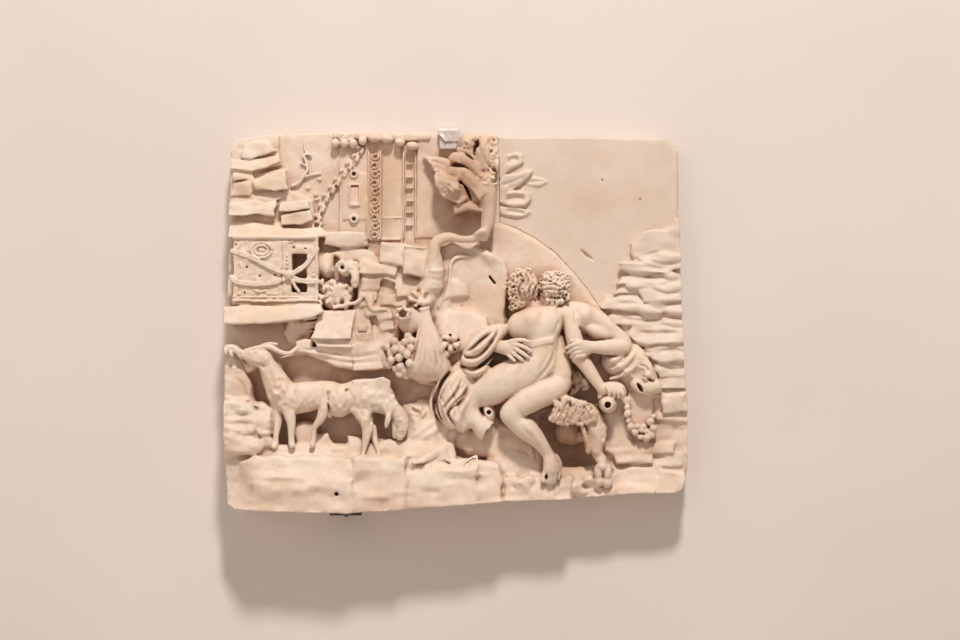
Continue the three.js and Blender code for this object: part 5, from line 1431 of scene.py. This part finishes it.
def carve_skin(stone):
    """The beast's skin and the wreath at the right, and the rocks that the couple lean against."""
    stone.add(plate([(170, -12), (196, -8), (224, -34), (226, -60), (196, -56), (176, -40)],
        38, 12, soft=4, rough=2), 4)
    stone.add(together(boss(181, -47, 40, 21, 15, 14, turn=-12),
        limb([(166, -34, 40, 6), (196, -36, 42, 9), (206, -48, 42, 8)]), blend=5), 1.5)
    for i in range(7):
        t = i / 6
        rib = [(166 + 4 * t, -40 - 3 * t, 50 + t, 1.0),
            (176 + 6 * t, -44 - 11 * t + 4 * t * t, 54.5 - t, 1.5),
            (190 + 4 * t, -50 - 12 * t, 51 - 2 * t, 1.0)]
        stone.add(limb(rib), 1.2)
    stone.add(limb([(203, -30, 42, 2.4), (199, -40, 48, 3.0), (192, -52, 51, 2.8), (181, -60, 50, 2.2),
        (170, -64, 46, 1.6)], flat=0.8), 0.8)
    head = together(
        boss(212, -53, 42, 17, 13, 13, turn=-30, rough=0.8),
        limb([(198, -70, 44, 7), (209, -73, 48, 8.5), (221, -72, 46, 7.5)]),
        limb([(206, -36, 40, 6), (218, -42, 42, 8), (226, -54, 42, 8), (228, -66, 42, 6)], rough=0.8),
        blend=3,
    )
    stone.add(plate([(190, -26), (226, -34), (252, -60), (254, -86), (222, -88), (196, -84), (176, -62)],
        39, 10, soft=5, rough=2, lean=0.05), 5)
    stone.add(boss(205, -50, 38, 27, 25, 12, turn=-20), 5)
    stone.add(head, 2)
    stone.add(boss(213, -61, 54, 6, 3.2, 3.4, turn=-25, rough=1), 1.6)
    for tuft in ([(204, -40), (212, -44), (218, -52)], [(210, -38), (219, -44), (224, -54)],
            [(216, -38), (225, -46), (229, -58)], [(199, -50), (206, -52), (210, -58)],
            [(202, -62), (208, -64), (214, -68)]):
        trace(stone, tuft, 1.2, 1.6, floor=32)
        trace(stone, [(x0 + 2, z0 + 1.5) for x0, z0 in tuft], 0.9, -1.8, floor=32)
    stone.cut(boss(217, -56, 56, 3.4, 1.6, 3, turn=-20, sink=1), 0.8)
    stone.cut(limb([(199.5, -69, 52, 1.4), (202.5, -74, 54, 2.6), (204.5, -78, 53, 1.4)], sink=0.15), 0.5)
    stone.cut(limb([(206, -80, 54, 0.8), (215, -79, 56, 1.0), (224, -77, 53, 0.7)]), 0.8)
    for fold in (
        [(184, -34), (174, -42), (162, -47)], [(198, -34), (186, -46), (168, -56)],
            [(203, -33), (196, -50), (178, -60)],
        [(205, -34), (208, -46), (214, -54), (206, -62), (196, -66)], [(214, -38), (222, -48), (226, -62)],
    ):
        trace(stone, fold, 3.0, 2.6, floor=34)
    for fold in ([(192, -33), (180, -45), (165, -52)], [(201, -34), (191, -49), (174, -60)],
            [(209, -36), (217, -50), (221, -64)]):
        trace(stone, fold, 1.4, -2.2, floor=34)
    stone.add(block(204, -98, 26, 36, 40, 15, soft=2, rough=1), 3)
    stone.cut(limb([(193, -84, 42, 1.2), (192, -100, 42, 1.6), (194, -114, 42, 1.0)]), 1)
    u_shape = [
        (187.5, -95), (188.5, -102), (189.5, -109.5), (192.5, -116.5), (197, -123), (203, -128),
        (210, -129.5), (215.5, -125), (217.5, -118), (214, -111), (217.5, -105),
    ]
    for i, (x0, z0) in enumerate(u_shape):
        size = 4.0 + 0.7 * math.sin(2.3 * i)
        stone.add(boss(x0, z0, 47 + math.sin(1.7 * i),
            size, size * 0.9, size, turn=40 * i, sink=0.4, rough=0.5), 0.6)
    for x0, z0 in ((204, -121), (210, -122), (200, -116), (207, -116)):
        stone.add(boss(x0, z0, 45, 3.4, 3.0, 3.5, sink=0.4, rough=0.4), 0.6)
    # Ledges from the skin down to the ground.
    beds = [
        ([(224, -76), (256, -76), (257, -101), (228, -102), (226, -90)], 44, 0.15),
        ([(220, -102), (258, -102), (258, -112), (222, -110)], 40, 0.3),
        ([(222, -110), (258, -110), (257, -134), (224, -132)], 34, 0.1),
        ([(164, -132), (242, -134), (240, -146), (170, -148), (160, -142)], 41, 0.4),
        ([(244, -112), (258, -110), (258, -150), (246, -148)], 37, 0.0),
        ([(172, -146), (216, -146), (218, -157), (176, -158)], 44, 0.35),
        ([(216, -144), (250, -144), (252, -162), (218, -160)], 38, 0.2),
    ]
    stone.add(plate([(158, -130), (190, -96), (216, -84), (258, -74), (258, -166), (158, -166)],
        36, 8, soft=4, rough=2), 4)
    for outline, front, lean in beds:
        stone.add(plate(outline, front, 8, soft=3.2, rough=2.0, lean=lean), 3)
    stone.add(block(240, -89, 24, 18, 46, 15, soft=3, rough=1.6), 2)
    ledges = [(160, -74), (258, -74), (258, -168), (156, -168)]
    texture(stone, ledges, 1.0, 10, 105, stretch=(2, 1), floor=26)
    texture(stone, ledges, 0.6, 3.8, 106, stretch=(4, 1), floor=26)
    texture(stone, [(212, -28), (226, -32), (244, -60), (238, -80), (226, -74), (220, -50)],
        1.4, 4.5, 107, floor=30, edge=4)
    # Rubble under the feet.
    stone.add(plate([(44, -158), (100, -164), (156, -160), (158, -184), (44, -184)],
        48, 10, soft=7, rough=3, lean=0.4), 5)
    rubble = np.random.default_rng(77)
    for _ in range(18):
        x0 = rubble.uniform(66, 150)
        z0 = rubble.uniform(-193, -168)
        size = rubble.uniform(2.0, 4.6)
        stone.add(boss(x0, z0, 58 - 0.09 * (x0 - 66), size * 1.7, size, 3.5, turn=rubble.uniform(-40, 40),
            rough=2.4), 3)
    texture(stone, [(46, -164), (158, -162), (158, -198), (46, -200)], 1.5, 5, 124, stretch=(1.3, 1),
        floor=30)


# ---- from carved grid to mesh --------------------------------------------------------------------
def blur(values, radius):
    """A box blur over the three axes of a grid."""
    reach = max(1, round(radius / STEP))
    for axis in range(3):
        padded = np.pad(values, [(reach + 1, reach) if i == axis else (0, 0) for i in range(3)],
            mode="edge")
        total = np.cumsum(padded, axis=axis, dtype=np.float32)
        count = values.shape[axis]
        upper = total.take(range(2 * reach + 1, 2 * reach + 1 + count), axis)
        values = (upper - total.take(range(count), axis)) / (2 * reach + 1)
    return values


def sample(stone, values, places):
    """Values of a grid at places given as x, z, depth rows."""
    index = (places - stone.low) / STEP
    limit = np.array(values.shape) - 1
    index = np.clip(np.rint(index).astype(int), 0, limit)
    return values[index[:, 0], index[:, 1], index[:, 2]]


def largest_island(count, edges):
    """Which points belong to the largest connected part of a mesh."""
    label = np.arange(count)
    while True:
        low = np.minimum(label[edges[:, 0]], label[edges[:, 1]])
        new = label.copy()
        np.minimum.at(new, edges[:, 0], low)
        np.minimum.at(new, edges[:, 1], low)
        new = new[new]
        new = new[new]
        if (new == label).all():
            return label == np.bincount(label).argmax()
        label = new


def mesh_of(name, points, faces):
    """A mesh from arrays of points and of triangles and quads."""
    mesh = bpy.data.meshes.new(name)
    mesh.vertices.add(len(points))
    mesh.vertices.foreach_set("co", points.astype(np.float32).ravel())
    corners = np.concatenate([group.ravel() for group in faces])
    sizes = np.concatenate([np.full(len(group), group.shape[1]) for group in faces])
    mesh.loops.add(len(corners))
    mesh.loops.foreach_set("vertex_index", corners.astype(np.int32))
    mesh.polygons.add(len(sizes))
    mesh.polygons.foreach_set("loop_start", (np.cumsum(sizes) - sizes).astype(np.int32))
    mesh.update(calc_edges=True)
    mesh.validate()
    return mesh


def to_object(name, stone, triangles):
    """The carved surface as one closed, smooth-shaded object, thinned where it is flat."""
    field = np.clip(stone.field, -FIELD_LIMIT, FIELD_LIMIT)
    for axis in range(3):
        for end in (0, -1):
            index = [slice(None)] * 3
            index[axis] = end
            field[tuple(index)] = FIELD_LIMIT
    grid = openvdb.FloatGrid(FIELD_LIMIT)
    grid.copyFromArray(field)
    points, tris, quads = grid.convertToPolygons(isovalue=0.0, adaptivity=0.02)
    places = points * STEP + stone.low
    corners = np.stack([places[:, 0], -places[:, 2], places[:, 1]], 1) * MM
    a, b, c = corners[quads[:, 0]], corners[quads[:, 1]], corners[quads[:, 2]]
    if (a * np.cross(b, c)).sum() < 0:  # the surface must face outwards
        tris, quads = tris[:, ::-1], quads[:, ::-1]
    mesh = mesh_of(name, corners, (tris, quads))
    edges = np.empty(len(mesh.edges) * 2, np.int32)
    mesh.edges.foreach_get("vertices", edges)
    keep = largest_island(len(mesh.vertices), edges.reshape(-1, 2))
    if not keep.all():
        shell = bmesh.new()
        shell.from_mesh(mesh)
        strays = [vert for vert, kept in zip(shell.verts, keep) if not kept]
        bmesh.ops.delete(shell, geom=strays, context="VERTS")
        shell.to_mesh(mesh)
        shell.free()
    obj = bpy.data.objects.new(name, mesh)
    bpy.context.scene.collection.objects.link(obj)
    now = sum(len(face.vertices) - 2 for face in mesh.polygons)
    thin = obj.modifiers.new("thin", "DECIMATE")
    thin.ratio = min(1.0, triangles / now)
    thin.use_collapse_triangulate = True
    final = bpy.data.meshes.new_from_object(obj.evaluated_get(bpy.context.evaluated_depsgraph_get()))
    obj.modifiers.clear()
    obj.data = final
    bpy.data.meshes.remove(mesh)
    final.name = name
    final.polygons.foreach_set("use_smooth", np.ones(len(final.polygons), bool))
    print(name, now, "->", len(final.polygons))
    return obj


def note_wear(obj, stone, stains_and_shade):
    """Writes where dirt gathers and shade falls, to be painted darker as dirt and painted shade, where
    edges stand proud, and where the stone is stained or painted with shade.
    """
    mesh = obj.data
    places = np.empty(len(mesh.vertices) * 3, np.float32)
    mesh.vertices.foreach_get("co", places)
    places = places.reshape(-1, 3) / MM
    normals = np.empty(len(mesh.vertices) * 3, np.float32)
    mesh.vertex_normals.foreach_get("vector", normals)
    normals = normals.reshape(-1, 3)
    where = np.stack([places[:, 0], places[:, 2], -places[:, 1]], 1)
    out = np.stack([normals[:, 0], normals[:, 2], -normals[:, 1]], 1)
    # The share of solid stone in boxes reaching 4, 13 and 30 mm, taken a little way out from the
    # surface: high in a crevice or under an overhang, low at a proud edge.
    solid = (stone.field < 0).astype(np.float32)
    small, large, broad = blur(solid, 4), blur(solid, 13), blur(solid, 30)
    # The crevice and hollow masks darken the stone where dirt lies and where shade falls: painted shade as
    # well as dirt. The far term reaches wide recesses such as the cave, so that their painted shade is
    # deeper.
    crevice_dirt_and_shade = np.clip((sample(stone, small, where + 2.5 * out) - 0.30) / 0.35, 0, 1)
    near = np.clip((sample(stone, large, where + 8 * out) - 0.28) / 0.45, 0, 1)
    far = np.clip((sample(stone, broad, where + 16 * out) - 0.33) / 0.22, 0, 1)
    hollow_dirt_and_shade = 1 - (1 - near) * (1 - 0.8 * far)
    edge = np.clip((0.40 - sample(stone, small, where)) / 0.25, 0, 1)
    # Stain blobs: rusty stains on the stone, and painted shade at the dark cave and in the cast shadow of
    # the leaves.
    stain_and_shade = np.zeros(len(where), np.float32)
    for x0, z0, wide, tall, strength in stains_and_shade:
        stain_and_shade += strength * np.exp(-(((where[:, 0] - x0) / wide) ** 2) - ((where[:, 1] - z0) / tall) ** 2)
    for label, values in (("crevice_dirt_and_shade", crevice_dirt_and_shade), ("hollow_dirt_and_shade", hollow_dirt_and_shade), ("edge", edge), ("stain_and_shade", stain_and_shade)):
        layer = mesh.attributes.new(label, "FLOAT", "POINT")
        layer.data.foreach_set("value", values.astype(np.float32))


def trim(stone, keep_corner, shrink):
    """Cuts a carved block to the panel's outline, its flat back and its side of the joint."""
    x = stone.lines[0][:, None]
    z = stone.lines[1][None, :]
    rim = outline_distance(OUTLINE, x, z).astype(np.float32)
    corner_side = outline_distance([(270, 215), *JOINT], x, z).astype(np.float32)
    part = (corner_side if keep_corner else -corner_side) + shrink
    side = np.maximum(rim[:, :, None] + 0.35 * (1 + stone.grain), part[:, :, None])
    stone.field = np.maximum(stone.field, side)
    depth = stone.lines[2][None, None, :]
    stone.field = np.maximum(stone.field, np.maximum(-depth, depth - SLAB_FRONT))


def carve_slab():
    """The old slab: its plain ground first, then the carving from the back to the front."""
    stone = Stone((-260, -214, -3), (262, 214, 90), seed=3)
    stone.add(plate(OUTLINE, 30, -6, soft=1.5, rough=0.5), 1)
    stone.add(plate([(-44, 92), (-44, 206), (60, 206), (60, 92)], 32, -6, soft=1.5, rough=0.5), 2)
    stone.add(plate([(40, 106), (66, 100), (110, 74), (150, 25), (185, -12), (150, -30), (60, -20),
        (40, 40)], 34, -6, soft=2, rough=0.8), 4)
    for step in (
        carve_left_rocks, carve_ground, carve_middle_rocks, carve_crag, carve_gate, carve_shrine,
        carve_ram, carve_tree, carve_fruit, carve_right_goat, carve_left_goat, carve_hollows,
        carve_skin, carve_woman, carve_drapery, carve_man, carve_heads,
    ):
        step(stone)
    trim(stone, keep_corner=False, shrink=0.0)
    return stone


def carve_corner_block():
    """The newer corner block."""
    stone = Stone((42, -80, -3), (262, 214, 56), seed=9)
    stone.add(plate(OUTLINE, 28, -6, soft=1.5, rough=0.3), 1)
    carve_corner(stone)
    trim(stone, keep_corner=True, shrink=0.25)
    return stone


# ---- steel pieces --------------------------------------------------------------------------------
def folded_strip(name, stations, thickness, bend=None):
    """A strip of sheet metal along stations of depth, z, left edge and right edge. bend moves points
    of it a little, given their x, z and depth."""
    across, sheet = 12, bmesh.new()
    rows = []
    for index, (depth, z0, left, right) in enumerate(stations):
        before = stations[max(0, index - 1)]
        after = stations[min(len(stations) - 1, index + 1)]
        run = Vector((after[0] - before[0], after[1] - before[1])).normalized()
        normal = Vector((-run.y, run.x))
        row = []
        for side in (1, -1):
            line = []
            for i in range(across + 1):
                x = left + (right - left) * i / across
                d = depth + side * normal.x * thickness / 2
                z = z0 + side * normal.y * thickness / 2
                if bend:
                    x, z, d = bend(x, z, d)
                line.append(sheet.verts.new((x * MM, -d * MM, z * MM)))
            row.append(line)
        rows.append(row)
    for (top0, low0), (top1, low1) in zip(rows, rows[1:]):
        for i in range(across):
            sheet.faces.new((top0[i], top0[i + 1], top1[i + 1], top1[i]))
            sheet.faces.new((low0[i], low1[i], low1[i + 1], low0[i + 1]))
        sheet.faces.new((top0[0], top1[0], low1[0], low0[0]))
        sheet.faces.new((top0[-1], low0[-1], low1[-1], top1[-1]))
    for top, low in (rows[0], rows[-1]):
        for i in range(across):
            sheet.faces.new((top[i], low[i], low[i + 1], top[i + 1]))
    bmesh.ops.recalc_face_normals(sheet, faces=sheet.faces)
    obj = place_mesh(name, sheet)
    ease = obj.modifiers.new("ease", "BEVEL")
    ease.width = 0.35 * MM
    ease.segments = 2
    ease.limit_method = "ANGLE"
    obj.data.polygons.foreach_set("use_smooth", np.ones(len(obj.data.polygons), bool))
    return obj


def make_clip():
    """The clip over the top edge: an outer leaf folded over the panel, its lower left corner bent
    out, and the longer inner leaf that shows below it."""
    left, right = -20.3, 2.3

    def dent(x, z, d):
        """The torn lower left corner, curled out, and the slight waves of a hand-folded leaf."""
        down = max(0.0, 207.5 - z)
        tear = left + 0.86 * down
        curled = max(0.0, 1 - (x - left) / 6) * min(1.0, down / 4)
        wave = 0.3 * math.sin(0.45 * x) * min(1.0, down / 8)
        return tear + (x - left) * (right - tear) / (right - left), z, min(43.9, d + 1.5 * curled + wave)

    outer = [(0.7, 213.3, left, right), (10, 213.3, left, right), (24, 213.3, left, right),
        (36, 213.2, left, right)]
    for i in range(7):
        angle = math.radians(90 - 15 * i)
        outer.append((38.6 + 3.2 * math.cos(angle), 210.1 + 3.2 * math.sin(angle), left, right))
    outer += [(41.8, z, left, right - 0.06 * (208 - z)) for z in np.arange(208.6, 196.9, -1.3)]
    inner = [(39.6, 209, left + 1, right - 1)]
    inner += [(39.9, z, left + 1.6, right - 0.5 - 0.09 * (208 - z)) for z in np.arange(206, 190.2, -2.0)]
    inner.append((39.9, 190.4, left + 2.6, right - 2.5))
    return [folded_strip("top_clip_outer", outer, 1.4, dent), folded_strip("top_clip_inner", inner, 1.4)]


def make_bracket():
    """The shelf under the bottom edge, with its pin."""
    shelf = folded_strip("bottom_shelf", [(0.2 + 7.36 * i, -211.3, -138.3, -103.7) for i in range(11)], 2.0)
    pin = bmesh.new()
    bmesh.ops.create_cone(pin, cap_ends=True, segments=24, radius1=2.1 * MM, radius2=2.1 * MM,
        depth=2.6 * MM)
    bmesh.ops.translate(pin, verts=pin.verts, vec=(-120 * MM, -68 * MM, -212.9 * MM))
    return [shelf, place_mesh("bracket_pin", pin)]


# ---- materials -----------------------------------------------------------------------------------
def srgb(code):
    """A hex colour as linear red, green, blue and alpha."""
    parts = [int(code[i : i + 2], 16) / 255 for i in (1, 3, 5)]
    return (*[p / 12.92 if p <= 0.04045 else ((p + 0.055) / 1.055) ** 2.4 for p in parts], 1.0)


def per(size):
    """Texture scale for a pattern that repeats about every size millimetres."""
    return 1 / (size * MM)


def node(tree, kind, inputs=None, stops=(), **settings):
    """Adds a node with its settings, its inputs and, on a colour ramp, its stops. An input is a
    number, a hex colour or another node's output."""
    new = tree.nodes.new(kind)
    for key, value in settings.items():
        setattr(new, key, value)
    for key, value in (inputs or {}).items():
        if isinstance(value, bpy.types.NodeSocket):
            tree.links.new(value, new.inputs[key])
        else:
            new.inputs[key].default_value = srgb(value) if isinstance(value, str) else value
    for place, _ in stops[2:]:
        new.color_ramp.elements.new(place)
    for i, (place, value) in enumerate(stops):
        new.color_ramp.elements[i].position = place
        new.color_ramp.elements[i].color = srgb(value) if isinstance(value, str) else (value, value, value,
            1)
    return new


def surface(name, tones, layers, relief, **finish):
    """A surface whose tones drift into each other, with layers of wear, stain and painted shade over them
    and fine relief.

    tones are (size in mm, detail, share, stops of place and colour). layers are (a mask written on
    the piece or None, patch or None, strength, colour), where the mask marks proud edges, stains, or
    dirt together with painted shade, and a patch is (size in mm, detail, roughness, stops). relief is
    (size in mm, detail, height in mm, strength). finish holds the plain values of the shader."""
    material = bpy.data.materials.new(name)
    material.use_nodes = True
    tree = material.node_tree
    tree.nodes.clear()
    place = node(tree, "ShaderNodeTexCoord").outputs["Object"]
    colour = None
    for size, detail, share, stops in tones:
        drift = node(tree, "ShaderNodeTexNoise", {"Vector": place, "Scale": per(size),
            "Detail": detail, "Roughness": 0.55})
        tone = node(tree, "ShaderNodeValToRGB", {"Fac": drift.outputs["Fac"]}, stops).outputs["Color"]
        if colour:
            tone = node(tree, "ShaderNodeMix", {0: share, 6: colour, 7: tone}, data_type="RGBA").outputs[2]
        colour = tone
    for label, patch, strength, tint in layers:
        share = strength
        if patch:
            size, detail, rough, stops = patch
            spots = node(tree, "ShaderNodeTexNoise", {"Vector": place, "Scale": per(size),
                "Detail": detail, "Roughness": rough})
            spots = node(tree, "ShaderNodeValToRGB", {"Fac": spots.outputs["Fac"]}, stops)
            share = node(tree, "ShaderNodeMath", {0: spots.outputs["Color"], 1: share},
                operation="MULTIPLY").outputs[0]
        # A mask written on the piece: the crevice and hollow masks paint shade as well as dirt.
        if label:
            marking = node(tree, "ShaderNodeAttribute", attribute_name=label).outputs["Fac"]
            share = node(tree, "ShaderNodeMath", {0: marking, 1: share}, operation="MULTIPLY",
                use_clamp=True).outputs[0]
        colour = node(tree, "ShaderNodeMix", {0: share, 6: colour, 7: tint}, data_type="RGBA").outputs[2]
    bump = None
    for size, detail, height, strength in relief:
        grain = node(tree, "ShaderNodeTexNoise", {"Vector": place, "Scale": per(size),
            "Detail": detail, "Roughness": 0.65})
        inputs = {"Height": grain.outputs["Fac"], "Strength": strength, "Distance": height * MM}
        if bump:
            inputs["Normal"] = bump
        bump = node(tree, "ShaderNodeBump", inputs).outputs["Normal"]
    inputs = {"Base Color": colour, **finish}
    if bump:
        inputs["Normal"] = bump
    shader = node(tree, "ShaderNodeBsdfPrincipled", inputs)
    node(tree, "ShaderNodeOutputMaterial", {"Surface": shader.outputs[0]})
    return material


def aged_marble():
    # White marble carved with chisel and drill, weathered and then cleaned: warm cream faces worn dull,
    # brown-pink earth and painted shade in every hollow, rusty blotches, a fine sugary grain. The grain
    # is under a millimetre on the stone and is drawn at 1.6 mm so that it shows.
    broken = (14, 5, 0.7, [(0.35, 0.55), (0.65, 1.0)])
    return surface(
        "aged carved marble",
        [
            (70, 4, 1.0, [(0.32, "#DBC3AC"), (0.52, "#E5D3C1"), (0.72, "#EDE0D2")]),
            (9, 6, 0.4, [(0.3, "#D6BAA1"), (0.55, "#E9D9C7")]),
        ],
        [
            (None, (34, 5, 0.65, [(0.60, 0.0), (0.74, 1.0)]), 0.35, "#CFA887"),
            (None, (62, 3, 0.5, [(0.50, 0.0), (0.66, 1.0)]), 0.32, "#DFB397"),
            (None, (48, 3, 0.5, [(0.53, 0.0), (0.68, 1.0)]), 0.32, "#E2C493"),
            (None, (3.2, 3, 0.7, [(0.66, 0.0), (0.76, 1.0)]), 0.25, "#C39A7C"),
            # Hollows and crevices darkened brown: earth left in them, and painted shade.
            ("hollow_dirt_and_shade", broken, 0.72, "#B08267"),
            ("crevice_dirt_and_shade", broken, 0.85, "#8F634A"),
            ("edge", None, 0.4, "#F6ECE1"),
            # Stain blobs: rust stains, and painted shade at the cave and the leaves' cast shadow.
            ("stain_and_shade", broken, 0.8, "#AE8160"),
        ],
        [(1.6, 4, 0.35, 0.35), (7, 5, 0.9, 0.6)],
        **{"Roughness": 0.62, "IOR": 1.5},
    )


def new_marble():
    # White marble of the same kind, sawn and rubbed smooth when the corner was made new: paler and
    # more even, with faint ochre patches, a few dark specks and painted shade in its hollows.
    return surface(
        "rubbed new marble",
        [
            (90, 4, 1.0, [(0.3, "#D6C3B0"), (0.55, "#DDCDBD"), (0.75, "#E4D5C7")]),
            (12, 5, 0.3, [(0.3, "#D3BDA9"), (0.6, "#E0D0C0")]),
        ],
        [
            # Hollows and crevices darkened: dirt, and painted shade.
            ("hollow_dirt_and_shade", None, 0.35, "#C6A286"),
            ("crevice_dirt_and_shade", None, 0.5, "#B0886C"),
            ("stain_and_shade", None, 0.9, "#D0A584"),
            (None, (2.4, 2, 0.6, [(0.74, 0.0), (0.80, 1.0)]), 0.25, "#8F6E5A"),
        ],
        [(2.2, 4, 0.3, 0.3), (22, 2, 0.8, 0.5)],
        **{"Roughness": 0.55, "IOR": 1.5},
    )


def clip_steel():
    # Mild steel strip with a zinc coat, cut and folded: a pale grey sheen gone dull in patches.
    tones = [(11, 5, 1.0, [(0.35, "#C4B9B1"), (0.6, "#DDD4CE")])]
    return surface("zinc coated folded steel", tones, [], [(3, 3, 0.2, 0.25)], Roughness=0.6, Metallic=0.45)


def bracket_steel():
    # Mild steel plate, sawn and left bare: dark grey, browner where it has rusted a little.
    tones = [(11, 5, 1.0, [(0.35, "#5A524C"), (0.6, "#7C736C")])]
    return surface("dark bracket steel", tones, [], [(3, 3, 0.2, 0.25)], Roughness=0.5, Metallic=1.0)


def wall_paint():
    # Matt emulsion on plaster, even and chalky.
    return surface("matt wall paint", [(400, 2, 1.0, [(0.3, "#DFD6CF"), (0.7, "#E5DDD7")])], [], [],
        Roughness=0.9)


# ---- the pieces ----------------------------------------------------------------------------------
# Blobs of x, z, half width, half height and strength. Most are stains on the stone; those at the dark cave
# (126, -138) and at the leaves' cast shadow (10, 112) are painted shade.
SLAB_STAINS_AND_SHADE = [
    (8, 160, 36, 44, 1.1), (10, 112, 26, 26, 0.6), (126, -138, 30, 34, 1.2), (-80, 20, 34, 40, 0.35),
        (-75, 145, 50, 60, 0.4),
    (-62, -20, 14, 24, 0.5), (70, 32, 14, 26, 0.35), (212, -116, 40, 24, 0.35), (-238, 145, 12, 9, 0.7),
    (-176, 114, 12, 6, 0.8), (-90, 150, 7, 60, 0.6), (-150, 150, 26, 20, 0.35), (0, -200, 260, 12, 0.25),
    (-46, 55, 9, 12, 0.6), (-88, 45, 12, 9, 0.5), (-103, -15, 8, 14, 0.7), (-235, -65, 16, 20, 0.4),
    (-33, -55, 14, 8, 0.5), (-60, -100, 9, 9, 0.5), (20, 30, 22, 16, 0.35), (50, 95, 9, 16, 0.5),
    (110, -95, 18, 10, 0.35), (215, -140, 18, 9, 0.6), (-150, -118, 22, 10, 0.3), (30, 185, 10, 12, 0.3),
]
CORNER_STAINS = [(152, 134, 25, 16, 0.4), (157, 182, 22, 12, 0.2), (200, 143, 14, 10, 0.2),
    (204, 135, 1.6, 1.6, 0.9), (162, 157, 1.4, 1.4, 0.9)]

for name, carve, triangles, stains_and_shade, stone_kind, cad_node, finish in (
    ("relief_slab_carved", carve_slab, SLAB_TRIANGLES, SLAB_STAINS_AND_SHADE, aged_marble, "relief_slab",
        "aged_marble"),
    ("restored_corner_carved", carve_corner_block, CORNER_TRIANGLES, CORNER_STAINS, new_marble,
        "restored_corner", "new_marble"),
):
    stone = carve()
    piece = to_object(name, stone, triangles)
    note_wear(piece, stone, stains_and_shade)
    piece.data.materials.append(stone_kind())
    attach(piece, "root")
    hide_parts(cad_node)

for pieces, material, cad_node in ((make_clip(), clip_steel(), "top_clip"),
        (make_bracket(), bracket_steel(), "bottom_bracket")):
    for piece in pieces:
        piece.data.materials.append(material)
        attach(piece, "root")
        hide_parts(cad_node)


# ---- stage, light and camera ---------------------------------------------------------------------
def stage_box(name, low, high, material):
    """A box between two corners, in metres, for the floor and the wall."""
    solid = bmesh.new()
    bmesh.ops.create_cube(solid, size=1)
    size = [high[i] - low[i] for i in range(3)]
    middle = [(high[i] + low[i]) / 2 for i in range(3)]
    bmesh.ops.scale(solid, verts=solid.verts, vec=size)
    bmesh.ops.translate(solid, verts=solid.verts, vec=middle)
    obj = place_mesh(name, solid)
    obj.data.materials.append(material)


paint = wall_paint()
stage_box("floor", (-4, -4, -1.45), (4, 0.1, -1.4), paint)
# The wall is open behind the panel, so that most of its back can be seen.
half_wide, half_tall = 0.235, 0.185
wall_side, wall_foot, wall_top = 4, -1.4, 2.6
for name, low_x, low_z, high_x, high_z in (
    ("wall_left", -wall_side, wall_foot, -half_wide, wall_top),
    ("wall_right", half_wide, wall_foot, wall_side, wall_top),
    ("wall_under", -half_wide, wall_foot, half_wide, -half_tall),
    ("wall_over", -half_wide, half_tall, half_wide, wall_top),
):
    stage_box(name, (low_x, 0.002, low_z), (high_x, 0.04, high_z), paint)

world = bpy.data.worlds.new("soft room light")
bpy.context.scene.world = world
world.use_nodes = True
background = world.node_tree.nodes["Background"]
background.inputs["Color"].default_value = srgb("#F8EEE6")
background.inputs["Strength"].default_value = 0.31


def area_light(name, place, aim, size, power, colour):
    """A round lamp at a place in metres, turned to a point."""
    light = bpy.data.lights.new(name, "AREA")
    light.shape = "DISK"
    light.size = size
    light.energy = power
    light.color = srgb(colour)[:3]
    obj = bpy.data.objects.new(name, light)
    obj.location = place
    obj.rotation_euler = (Vector(aim) - Vector(place)).to_track_quat("-Z", "Y").to_euler()
    bpy.context.scene.collection.objects.link(obj)


area_light("ceiling key", (0.25, -2.1, 2.75), (0, 0, 0), 0.42, 104, "#FFF6F0")
area_light("room fill", (-1.6, -2.6, 0.6), (0, 0, 0), 2.2, 12, "#FFF1E8")

eye = bpy.data.cameras.new("eye")
eye.lens = 80
eye.sensor_width = 36
viewpoint = bpy.data.objects.new("eye", eye)
viewpoint.location = (0.026, -2.4, 0.001)
viewpoint.rotation_euler = (math.radians(90), 0, 0)
bpy.context.scene.collection.objects.link(viewpoint)
bpy.context.scene.camera = viewpoint
bpy.context.scene.view_settings.view_transform = "Standard"
